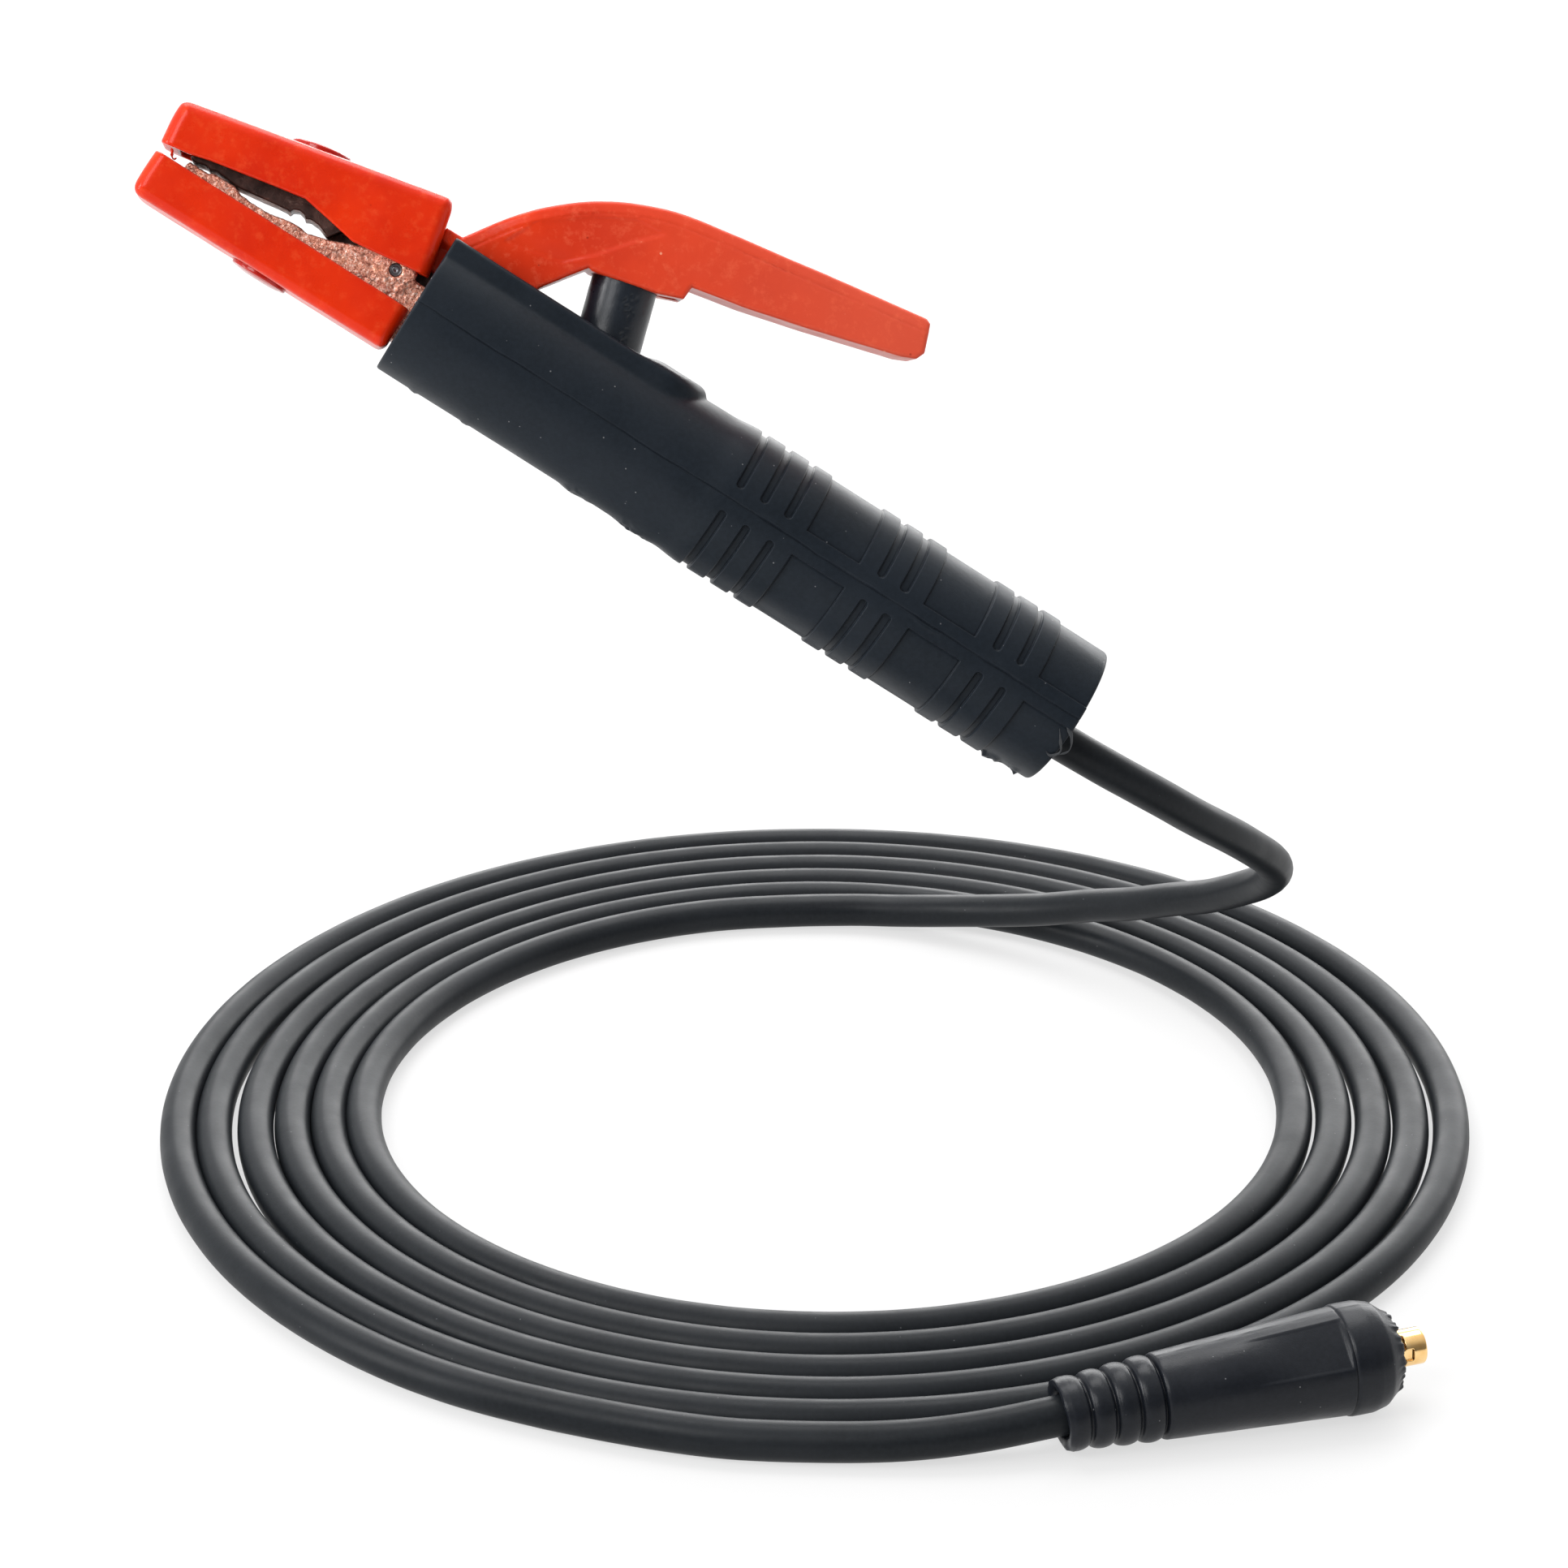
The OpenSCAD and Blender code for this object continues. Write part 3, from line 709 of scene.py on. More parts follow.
def handle_radius(x, phi):
    """The outside of the handle at x and an angle from the top, without its pockets."""
    r0 = 18.4 + 0.5 * step(52, 86, x)
    lo, hi = 17.0, 24.0
    near = (x < 75) & (np.abs(np.angle(np.exp(1j * phi))) < math.radians(60))
    r = np.array(np.broadcast_to(r0, x.shape), float)
    if near.any():
        xs, ps, rs = x[near], phi[near], r0[near]
        a, b = np.full(xs.shape, lo), np.full(xs.shape, hi)
        for _ in range(26):
            m = (a + b) / 2
            y, z = m * np.sin(ps), m * np.cos(ps)
            inside = smin(np.hypot(y, z) - rs, collar_field(xs, y, z), 0.6) < 0
            a, b = np.where(inside, m, a), np.where(inside, b, m)
        r[near] = a
    return r


def seam_wander(x, side):
    return 0.28 * noise(np.stack([x, x * 0 + side * 7, x * 0], -1), 17, 5) \
        + 0.10 * noise(np.stack([x, x * 0 + side * 7, x * 0], -1), 3.1, 9)


def slot_half(x):
    return np.where(x < 47.9, SLOT_HW, np.sqrt(np.maximum(SLOT_HW ** 2 - np.maximum(x - 47.9, 0) ** 2, 0)))


def handle_piece():
    xs = [FRONT + v for v in (0, 0.12, 0.3, 0.55, 0.9, 1.5)] + [1.0]
    xs += list(np.arange(2.0, 88, 1.0))
    xs += [47.9, 54.5, 55.3, 55.9, 56.3, 56.55, 56.72, 56.8]
    xs += list(np.arange(64.5, 74.0, 0.33))
    for a, b, narrow in POCKETS:
        for e in (a, b):
            if e < 193:
                xs += [e - 0.45, e - 0.26, e - 0.13, e, e + 0.13, e + 0.26, e + 0.45]
        b = min(b, 192)
        xs += list(np.linspace(a + 0.6, b - 0.6, 4 if narrow else int((b - a) / 0.9)))
    xs += list(np.arange(91.6, 178, 1.15))
    xs += [HANDLE_LEN - v for v in (3, 2, 1.3, 0.9, 0.6, 0.35, 0.15, 0)]
    xs = np.array(sorted(xs))
    xs = xs[np.r_[True, np.diff(xs) > 0.05]]
    # columns: angles from the top, close together at both seams and at the pockets' ends
    deg = 180 / math.pi / 18.6
    near_seam = [0, 0.14, 0.28, 0.45, 0.7, 1.1, 1.7, 2.4, 2.9, 3.05, 3.2, 3.35, 3.5, 3.75, 4.0, 4.3, 4.7, 5.2, 6.0, 7.0]
    cols = []
    for c in (90, 270):
        cols += [c + s * v * deg for v in near_seam for s in (-1, 1)]
    cols += list(np.arange(45, 66, 2.6)) + list(np.arange(114, 246, 2.9)) + list(np.arange(294, 315, 2.6)) + [315]
    cols = np.unique(np.round(cols, 4))
    top = np.linspace(0, 1, 17)[:-1] ** 0.9
    nt = len(top)
    n, m = len(xs), nt * 2 + len(cols)

    def angles(half):
        """All the columns' angles at each x, starting and ending at the slot's edge or the top."""
        a = np.degrees(half)[:, None]
        first = a + (45 - a) * top[None, :]
        mid = np.repeat(cols[None, :], len(half), 0)
        last = 360 - first[:, ::-1]
        return np.radians(np.concatenate([first, mid, last], 1))

    half_out = np.arctan2(slot_half(xs), COLLAR_TOP)
    phi = angles(half_out)
    X = np.repeat(xs[:, None], m, 1)
    for centre, side in ((90, 0), (270, 1)):
        off = (np.degrees(phi) - centre) / deg
        fade = np.exp(-(off / 2.2) ** 2)
        phi = phi + np.radians(fade * seam_wander(X, side) * deg)
    R = handle_radius(X, phi)
    flat = slot_half(X) > 0.02
    # pockets: grooves and panels sunk below the ribs and the strips along the seam
    arc = np.minimum(np.abs(np.degrees(phi) - 90), np.abs(np.degrees(phi) - 270)) / deg
    lift = 0.62 * step(80, 87.9, X)
    sink = np.zeros_like(R)
    for a, b, narrow in POCKETS:
        rad = 1.05 if narrow else 0.35
        hw = (b - a) / 2
        qx = np.abs(X - (a + b) / 2) - hw + rad
        qa = (3.25 + rad) - arc
        d = np.hypot(np.maximum(qx, 0), np.maximum(qa, 0)) + np.minimum(np.maximum(qx, qa), 0) - rad
        depth = 0.88 if narrow else 0.72
        sink = np.maximum(sink, depth * (1 - step(-0.24, 0.04, d)))
        sink = np.maximum(sink, (depth + 0.24) * np.exp(-((d + 0.26) / 0.10) ** 2))
    P3 = np.stack([X, R * np.sin(phi), R * np.cos(phi)], -1)
    R = R + lift - sink
    # the seam: a fine groove with a thin bead of flash beside it, broken here and there
    for centre, side in ((90, 0), (270, 1)):
        off = (np.degrees(phi) - centre) / deg - seam_wander(X, side)
        gate = 0.55 + 0.45 * noise(np.stack([X, X * 0 + side, X * 0], -1), 6, 41)
        R = R - 0.42 * np.exp(-(off / 0.19) ** 2) * (0.6 + 0.4 * gate)
        R = R + 0.05 * np.exp(-((off - 0.5) / 0.26) ** 2) * gate
        for c, w, k in ((126, 9, 0.9), (171, 8, 1.0), (147, 5, -0.8), (101, 4, 0.7)):
            bow = k * np.exp(-((X - c) / w) ** 2)
            R = R + 0.26 * np.exp(-((off - bow) / 0.30) ** 2) * np.exp(-((X - c) / w) ** 4)
    # small moulding faults along the bottom: a gate mark near the front, torn flash towards the rear
    bottom = np.degrees(phi)
    under = np.exp(-((bottom - 182) / 14) ** 2)
    for c, w, k in ((9.8, 1.0, 0.45), (24.5, 0.9, 0.4), (56.0, 3.4, 0.55), (60.5, 1.2, 0.3), (74.0, 5.0, 0.6)):
        R = R + under * k * np.exp(-((X - c) / w) ** 4) * (0.7 + 0.5 * noise(P3, 1.1, 3))
    torn = np.exp(-((bottom - 184) / 8) ** 2) * step(178.2, 179.4, X) * (1 - step(188.4, 189.6, X))
    R = R + torn * np.clip(0.45 + 1.5 * noise(P3, 1.7, 77) + 0.7 * noise(P3, 0.8, 78), 0, 1.6)
    R = R + 0.035 * fbm(P3, 9, 51)
    # rounded rims
    R = R - 0.5 * (1 - np.sqrt(np.clip(1 - (1 - np.clip((X - FRONT) / 0.7, 0, 1)) ** 2, 0, 1)))
    R = R - 0.6 * (1 - np.sqrt(np.clip(1 - (1 - np.clip((HANDLE_LEN - X) / 0.9, 0, 1)) ** 2, 0, 1)))
    out = np.stack([X, R * np.sin(phi), R * np.cos(phi)], -1)
    edge = slot_half(xs)
    for k, s in ((0, 1), (m - 1, -1)):  # the slot's own edge stays straight
        on = edge > 0.02
        out[on, k, 1] = s * edge[on]
        out[on, k, 2] = np.minimum(out[on, k, 2], (COLLAR_TOP + 1.2 * step(50, 59, xs))[on])
    # the inside, on the same columns
    inner_r = np.where(xs < HANDLE_LEN - 6, BORE, 13.4)
    half_in = np.arcsin(np.clip(slot_half(xs) / inner_r, 0, 1))
    phi_in = angles(half_in)
    keep = np.where((xs <= 56.9) | (np.abs(xs - 100) < 0.9) | (np.abs(xs - 150) < 0.9)
                    | (xs > HANDLE_LEN - 3.2))[0]
    Ri = np.repeat(inner_r[keep][:, None], m, 1)
    Xi = np.repeat(xs[keep][:, None], m, 1)
    pin = phi_in[keep]
    inner = np.stack([Xi, Ri * np.sin(pin), Ri * np.cos(pin)], -1)
    verts = np.vstack([out.reshape(-1, 3), inner.reshape(-1, 3)])
    b = n * m
    faces = [list(f) for f in grid_faces(n, m, flip=True)]
    faces += [list(f) for f in grid_faces(len(keep), m, base=b)]
    # walls of the slot, between matching rows
    row_of = {int(k): i for i, k in enumerate(keep)}
    for i in range(n - 1):
        if xs[i + 1] > 56.81:
            break
        a0, a1 = i * m, (i + 1) * m
        c0, c1 = b + row_of[i] * m, b + row_of[i + 1] * m
        faces += [[a0, a1, c1, c0], [a0 + m - 1, c0 + m - 1, c1 + m - 1, a1 + m - 1]]
    last = len(keep) - 1
    for j in range(m - 1):
        faces.append([j, j + 1, b + j + 1, b + j])
        faces.append([(n - 1) * m + j, b + last * m + j, b + last * m + j + 1, (n - 1) * m + j + 1])
    o = make("grip_handle", hold(verts), faces, M_HANDLE)
    weld(o, 2e-5)
    return o


handle = handle_piece()
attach(handle, "holder")
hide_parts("handle")


def thin_film(name, line, width, thick, seed, material, to_row=hold):
    """A thin wavy strip of torn flash that follows a line, tapering to nothing at both ends."""
    line = smooth_line(line, 0.35)
    n = len(line)
    t = np.gradient(line, axis=0)
    t /= np.linalg.norm(t, axis=1)[:, None]
    up = np.cross(t, [0, 1, 0])
    up /= np.linalg.norm(up, axis=1)[:, None]
    side = np.cross(up, t)
    s = np.linspace(0, 1, n)
    w = width * np.clip(np.sin(np.pi * s), 0, 1) ** 0.5 * (0.75 + 0.5 * noise(np.stack([s * 9, s * 0, s * 0], -1), 1, seed))
    curl = 0.5 * noise(np.stack([s * 6, s * 0 + 3, s * 0], -1), 1, seed + 1)
    rings = []
    for k in np.linspace(0, 2 * np.pi, 8, endpoint=False):
        a, b = np.cos(k), np.sin(k)
        rings.append(line + up * (w * a * 0.5)[:, None] + side * (thick * b * 0.5 + curl * 0.3 * a)[:, None])
    P = np.stack(rings, 1)
    verts = P.reshape(-1, 3)
    faces = [list(f) for f in grid_faces(n, 8, wrap=True)] + [list(range(8)), [(n - 1) * 8 + k for k in range(8)]]
    return weld(make(name, to_row(verts), faces, material), 1e-7)


# ---------------------------------------------------------------- the insulators
UP_OUT = [(-73.4, -0.1), (-74.6, 7.1), (-74.2, 9.6), (-72.7, 11.3), (-70.5, 12.1), (-8.6, 25.5), (-6.9, 25.3),
          (-5.9, 24), (-2, 6.7), (-22.1, 4.2), (-37, 6.9), (-61, 2.4), (-66.2, 1)]
UP_TALL = rounded([(-73.0, -6), (-74.6, 7.1), (-74.4, 11.6), (-7.2, 26.2), (-5.6, 24), (1.1, -6)], 4.2)
UP_IN = [(-69, -9), (-69.5, 6.6), (-68.6, 9.4), (-9.7, 22.2), (-8.4, 21.4), (-4.4, 5.5), (-3.6, -9)]
UP_CUT = [(-90, -30), (-90, -0.5), (-73.4, -0.1), (-66.2, 1), (-61, 2.4), (-37, 6.9), (-22.1, 4.2), (-2, 6.7),
          (8, 8.0), (8, -30)]
JAW_TILT = math.radians(12.2)


def from_top(x, z):
    """Place along and above the upper insulator's top face, from the cap's centre."""
    c, s = math.cos(JAW_TILT), math.sin(JAW_TILT)
    dx, dz = x + 40.2, z - 18.67
    return dx * c + dz * s, -dx * s + dz * c


def upper_insulator_field(x, y, z):
    outer = prism(poly(x, z, UP_TALL), np.abs(y) - 12.5, 3.3)
    body = smax(outer, -poly(x, z, UP_CUT), 0.5)
    d = smax(body, -smax(poly(x, z, UP_IN), np.abs(y) - 9.8, 1.0), 0.3)
    # the wall is pierced where the arm leaves
    d = np.maximum(d, -np.maximum(np.maximum(np.abs(y) - 4.6, np.abs(x + 2.5) - 4), np.maximum(z - 14, -z)))
    u, v = from_top(x, z)
    r = np.hypot(u, y)
    boss = np.maximum(r - 6, np.abs(v + 4.25) - 1.75)
    d = np.minimum(d, boss)
    d = smax(d, -np.maximum(r - 7.62, -1.2 - v), 0.25)
    d = np.maximum(d, -np.maximum(r - 3.7, -3.5 - v))
    return np.maximum(d, -np.maximum(r - 2.1, -8 - v))


LO_TALL = rounded([(-73.2, 6), (-73.8, -8), (-73.6, -14.2), (-3.0, -14.2), (-1.8, -12.6), (-1.6, 6)], 3.3)


def lower_insulator_field(x, y, z):
    outer = prism(poly(x, z, LO_TALL), np.abs(y) - 12.5, 3.0)
    d = smax(outer, z + 2.4, 0.5)
    box = np.maximum(np.maximum(np.abs(y) - 9.4, -11.1 - z), -69 - x)
    d = smax(d, -box, 0.4)
    r, v = np.hypot(x + 37.3, y), -(z + 14.15)
    d = smax(d, -np.maximum(r - 7.62, -1.1 - v), 0.25)
    d = np.maximum(d, -np.maximum(r - 3.7, -2.6 - v))
    return np.maximum(d, -np.maximum(r - 2.1, -5 - v))


def field_piece(name, f, lo, hi, h, material, warp=None, to_row=hold):
    p, q = level_mesh(f, lo, hi, h)
    if warp is not None:
        _, g = gradient(f, p, h * 0.5)
        p = warp(p, g)
    return make(name, to_row(p), q, material)


def soft_mould(amp, size, seed):
    def warp(p, g):
        return p + g * (amp * fbm(p, size, seed, 2))[:, None]
    return warp


upper = field_piece("insulator_upper", upper_insulator_field, (-76, -14, -2), (-0.5, 14, 27.5), 0.42, M_RED,
                    soft_mould(0.07, 9, 12))
lower = field_piece("insulator_lower", lower_insulator_field, (-75, -14, -16), (-0.5, 14, -1), 0.42, M_RED,
                    soft_mould(0.07, 9, 14))
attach(upper, "lever_side"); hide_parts("upper_insulator")
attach(lower, "holder"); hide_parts("lower_insulator")


def cap_profile(high):
    crown = [(1.35, 7.45), (1.75, 7.1), (1.55, 6.7), (2.1, 5.6), (2.45, 4.0), (2.6, 2.0), (2.62, 0)]
    return round_profile([(-1.05, 0), (-1.05, 7.45)] + [(x * high, r) for x, r in crown], 0.3, 4)


def on_top(p):
    c, s = math.cos(JAW_TILT), math.sin(JAW_TILT)
    p = np.asarray(p, float)
    v, y, u = p[:, 0], p[:, 1], p[:, 2]
    return hold(np.stack([-40.2 + u * c - v * s, y, 18.67 + u * s + v * c], -1))


def on_bottom(p):
    p = np.asarray(p, float)
    return hold(np.stack([-37.3 + p[:, 2], p[:, 1], -14.15 - p[:, 0]], -1))


def cap_shape(X, R, T):
    return X + 0.05 * np.sin(3 * T + 0.6) * (X > 0) * (R / 7.5), R


for name, place, body, node, high in (("cap_upper", on_top, "lever_side", "upper_screw_cap", 1.0),
                                      ("cap_lower", on_bottom, "holder", "lower_screw_cap", 0.6)):
    o = lathe(name, cap_profile(high), place, M_CAP, 72, cap_shape)
    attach(o, body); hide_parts(node)

# ---------------------------------------------------------------- the castings
LOWER_TOP = [(-65.9, -1.5), (-65.3, -0.4), (-60.2, -0.4), (-59.2, 0.35), (-53, 0.35), (-51, -0.5), (-48, -0.8),
             (-42.5, -0.7), (-39, 0.1), (-36.9, 0.5), (-34.5, 0.4), (-32.3, 0.2), (-27.2, 1.6), (-21.3, 4),
             (-16.5, 6.4), (-12.8, 8.4)]
CASTING = [(9, -10.8), (-63, -10.8), (-65.9, -8.5)] + LOWER_TOP + [(-5, 6.6), (-4.4, 4.4), (9, 4.4)]


def seat_distance(x, y, z):
    """Along and across the spring's axis."""
    c, s = math.cos(math.radians(16.3)), math.sin(math.radians(16.3))
    dx, dz = x - 43.7, z - 19.3
    return -dx * s + dz * c, np.hypot(dx * c + dz * s, y)


def casting_front_field(x, y, z):
    d = prism(poly(x, z, CASTING), np.abs(y) - 9.0, 0.7)
    hub = prism(np.hypot(x + 9.6, z - 4.1) - 5.2, np.abs(y) - 9.0, 0.6)
    d = smin(d, hub, 1.0)
    slot = np.maximum(np.maximum(-29 - x, -3.8 - z), np.abs(y) - 4.6)
    d = smax(d, -slot, 0.4)
    bore = np.hypot(x + 9.6, z - 4.1)
    d = np.maximum(d, -np.minimum(np.maximum(bore - 2.24, np.abs(y) - 8.15), bore - 1.62))
    return np.maximum(d, x - 8)


def casting_rear_field(x, y, z):
    r = np.hypot(y, z)
    chan = np.maximum(np.maximum(r - 14.2, 11.2 - r), np.maximum(z, np.maximum(2 - x, x - 64)))
    plate_ = np.maximum(np.maximum(np.abs(y) - 9, np.maximum(-10.8 - z, z - 4.4)), np.maximum(1.5 - x, x - 8))
    plate_ = np.maximum(plate_, -np.maximum(np.abs(y) - 4.6, -3.8 - z))
    plate_ = np.maximum(plate_, r - 14.2)
    sock = np.minimum(np.maximum(r - 14.2, np.abs(x - 63) - 2), np.maximum(r - 11.5, np.abs(x - 75.5) - 14.5))
    s, q = seat_distance(x, y, z)
    seat = np.maximum(np.maximum(q - 6.4, np.abs(s + 31.1) - 2.1), np.maximum(r - 14.2, np.abs(x - 47) - 17))
    d = smin(smin(np.minimum(chan, plate_), sock, 0.8), seat, 0.5)
    d = np.maximum(d, -np.maximum(r - 5.1, 67 - x))
    for c in (73, 83):
        d = np.maximum(d, -np.maximum(np.hypot(x - c, y) - 2.52, -z))
    d = np.maximum(d, -np.maximum(q - 2.02, np.abs(s + 27.4) - 5))
    return np.maximum(d, -np.maximum(np.hypot(x - 63, y) - 1.82, z + 8))


def cast_warp(p, g):
    """The grainy skin of a rough sand casting: grains, pits and a few deeper cracks."""
    f1, tag = cells(p, 1.05, 5)
    grain = (0.55 - f1) * 0.34
    f2, _ = cells(p, 0.62, 15)
    grain = grain + (0.5 - f2) * 0.14
    pits = -0.30 * step(0.45, 0.8, noise(p, 1.9, 61))
    front = 1 - step(-6, 0, p[:, 0])
    near_bore = (np.hypot(p[:, 0] + 9.6, p[:, 2] - 4.1) < 2.5) & ((np.abs(p[:, 1]) < 8.4) | (np.abs(g[:, 1]) < 0.7))
    amp = np.where(near_bore, 0, 0.35 + 0.65 * front)
    side = np.abs(g[:, 1]) > 0.8
    inner = side & (np.abs(p[:, 1]) < 5.2) & (p[:, 0] > -29.5)
    amp = np.where(inner, 0.0, amp)
    amp = amp * (0.75 + 0.35 * noise(p, 9, 8))
    # smooth where the top has been dressed near the hinge end of the jaw face
    worn = np.exp(-((p[:, 0] + 27) / 4.5) ** 2) * step(-4, 0, p[:, 2])
    return p + g * ((grain + pits) * amp * (1 - 0.6 * worn) - 0.04)[:, None]


front = field_piece("jaw_casting", casting_front_field, (-67.5, -10.5, -12.2), (9.2, 10.5, 10.8), 0.36, M_COPPER,
                    cast_warp)
rear = field_piece("socket_casting", casting_rear_field, (0.8, -15.2, -15.2), (91.2, 15.2, 15.2), 0.6, M_COPPER)
for o in (front, rear):
    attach(o, "holder"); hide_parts("jaw_body")

JAW_BLOCK = [(-65.9, 0.6), (-64.6, 0.2), (-61.5, 0.9), (-60.2, 0.5), (-58.9, 1.2), (-52.7, 0.6), (-39.7, 2.4),
             (-38.6, 2.2), (-38.3, 3.3), (-36.9, 3.95), (-35.4, 3.6), (-34.6, 2.9), (-33.4, 3.5), (-30.9, 3.3),
             (-27.7, 2.1), (-25, 6), (-19, 11.5), (-15, 14), (-13, 18.2), (-65.9, 6.9)]
ARM = [(-30, 3.1), (-27.7, 2.1), (-24, 0.4), (-14.5, -0.9), (-9.6, -1.2), (-5.5, -0.2), (4.5, 7.5), (12, 18.5),
       (20, 27.5), (31, 35), (56, 43.6), (84, 50.6), (104, 55.6), (104, 60.4), (84, 57.2), (56, 52.4), (42, 49.4),
       (31, 45), (22, 39.4), (14.5, 32.8), (8, 25), (1.5, 15.5), (-5.6, 10.5), (-13, 14), (-13, 18.2), (-30, 14.5)]


def upper_jaw_field(x, y, z):
    block = prism(poly(x, z, JAW_BLOCK), np.abs(y) - 8.0, 0.5)
    arm = prism(poly(x, z, ARM), np.abs(y) - 3.9, 0.5)
    d = smin(block, arm, 0.6)
    d = np.maximum(d, -(np.hypot(x + 9.6, z - 4.1) - 2.3))
    u, v = from_top(x, z)
    d = np.maximum(d, -np.maximum(np.hypot(u, y) - 2.02, np.abs(v + 6) - 6))
    return np.maximum(d, -np.maximum(np.hypot(x - 51.2, y) - 1.52, np.abs(z - 38) - 8))


def jaw_warp(p, g):
    front = 1 - step(-14, -6, p[:, 0])
    f1, _ = cells(p, 1.7, 33)
    amp = 0.10 * fbm(p, 2.6, 32, 3) + 0.10 * (0.5 - f1) * step(-30, -20, p[:, 0])
    return p + g * (amp * front)[:, None]


# the upper jaw's very dark colour is painted shade
jaw = field_piece("jaw_upper", upper_jaw_field, (-67.2, -9, -2.2), (105.2, 9, 61.6), 0.45, M_JAW_PAINTED_SHADE, jaw_warp)
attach(jaw, "lever_side"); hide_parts("upper_jaw")


def across(c):
    """A frame whose x runs across the holder, from a centre in x and z."""
    def place(p):
        p = np.asarray(p, float)
        return hold(np.stack([c[0] + p[:, 2], p[:, 0], c[1] + p[:, 1]], -1))
    return place


pin_profile = round_profile([(-8.75, 0.02), (-8.8, 0.85), (-8.45, 1.05), (-8.5, 1.25), (-8.9, 1.35), (-8.7, 1.57),
                             (-8.05, 1.57), (-8.05, 2.17), (8.05, 2.17), (8.05, 1.57), (8.7, 1.57), (8.9, 1.35),
                             (8.5, 1.25), (8.45, 1.05), (8.8, 0.85), (8.75, 0.02)], 0.12, 3)


def tubular(name, outer, inner_r, place, material, seg=48):
    """A lathe ring: an outer profile closed by a straight bore."""
    prof = np.array(outer, float)
    th = np.arange(seg) * 2 * math.pi / seg
    X = np.repeat(prof[:, 0][:, None], seg, 1)
    R = np.repeat(prof[:, 1][:, None], seg, 1)
    T = np.repeat(th[None], len(prof), 0)
    P = np.stack([X, R * np.sin(T), R * np.cos(T)], -1).reshape(-1, 3)
    faces = [list(f) for f in grid_faces(len(prof), seg, wrap=True)]
    a = (len(prof) - 1) * seg
    for j in range(seg):
        faces.append([a + j, a + (j + 1) % seg, (j + 1) % seg, j])
    return weld(make(name, place(P), faces, material), 1e-7)


pin = tubular("hinge_rivet", pin_profile, 1.1, across((-9.6, 4.1)), M_SPRING)
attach(pin, "holder"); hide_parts("hinge_pin")

# ---------------------------------------------------------------- the lever, its sleeve and spring
LEVER_TOP = [(0, 19.9), (6.6, 29.4), (13.3, 37), (21.5, 43.9), (30.5, 49.2), (41.3, 53.4), (54.1, 56), (67.4, 58.2),
             (84.8, 61.1), (108, 64.7)]
LEVER_REST = [(109.3, 64), (111.9, 57), (110.9, 54.7), (107.3, 53.1), (84.2, 46.6), (67.5, 42.3), (54.2, 39.6),
              (54, 36.1), (48.2, 33.9), (31.3, 29.8), (30.1, 30)]


def fair(points, n):
    """The points with a smooth curve of n steps between each pair."""
    p = [np.array(q, float) for q in points]
    p = [2 * p[0] - p[1], *p, 2 * p[-1] - p[-2]]
    out = []
    for a, b, c, d in zip(p, p[1:], p[2:], p[3:]):
        for t in np.linspace(0, 1, n + 1)[:-1]:
            out.append(0.5 * (2 * b + (c - a) * t + (2 * a - 5 * b + 4 * c - d) * t * t
                              + (3 * b - a - 3 * c + d) * t ** 3))
    out.append(p[-2])
    return [tuple(q) for q in out]


TOP_LINE = fair(LEVER_TOP, 4)
LEVER_OUT = [(-3.0, 8.6), (-4.6, 17.6), (-4.5, 19.7)] + TOP_LINE + LEVER_REST + [(22.4, 19.3), (21.5, 13), (7, 11),
                                                                                 (2, 8.6)]
LEVER_WIDE = fair(LEVER_TOP[1:], 4)[5:] + LEVER_REST + [(27.2, 25.6), (20, 31.5)]
LEVER_SLOT = [(-6, 4), (4.8, 7), (12.4, 18.3), (20.3, 27.2), (31.2, 34.7), (56, 43.3), (84, 50.3), (104.4, 55.3),
              (104.4, 60.8), (84, 57.6), (56, 52.8), (42, 49.8), (31, 45.4), (21.8, 39.8), (14.2, 33.1), (7.7, 25.3),
              (1.1, 15.8), (-6, 10.5)]


def lever_field(x, y, z):
    d2 = poly(x, z, LEVER_OUT)
    top = line_dist(x, z, TOP_LINE)
    # a narrow band along the top leans inwards, with a crease below it; the root is narrower
    band = np.maximum(3.4 - top, 0) * 0.30
    half = 5.6 + 2.2 * step(14.5, 17, z) + 1.7 * step(23.5, 33, z)
    d = prism(d2, np.abs(y) - (half - band), 1.0)
    slot = prism(poly(x, z, LEVER_SLOT), np.abs(y) - 4.05, 0.2)
    d = smax(d, -slot, 0.2)
    s, q = seat_distance(x, y, z)
    d = np.maximum(d, -np.maximum(q - 8.5, np.abs(s - 7) - 11.5))
    r = np.hypot(x - 51.2, y)
    d = np.maximum(d, -np.maximum(r - 1.52, np.abs(z - 38) - 8))
    return np.maximum(d, -np.maximum(r - 2.95, z - 37.6))


def lever_warp(p, g):
    side = step(0.6, 0.9, np.abs(g[:, 1]))
    depth = line_dist(p[:, 0], p[:, 2], TOP_LINE)
    # a broad shallow facet on each side of the arch, and a chain of tiny moulding bubbles along the crease
    face = poly(p[:, 0], p[:, 2], [(9, 24), (13, 32.5), (24, 41.2), (34, 46.6), (42, 47.2), (36, 41), (30, 33.5),
                                   (24, 27.5)])
    out = -0.34 * (1 - step(-0.6, 0.3, face)) * side
    chain = np.exp(-((depth - 3.2) / 0.4) ** 2) * step(9, 14, p[:, 0]) * (1 - step(40, 48, p[:, 0]))
    f1, tag = cells(p, 1.35, 71)
    out = out + 0.2 * chain * (tag > 0.45) * (1 - step(0.15, 0.4, f1)) * side
    line = np.exp(-((depth - 3.2) / 0.30) ** 2) * side * (0.7 + 0.4 * noise(p, 7, 72))
    out = out - 0.36 * line
    return p + g * (out + 0.05 * fbm(p, 8, 73, 2))[:, None]


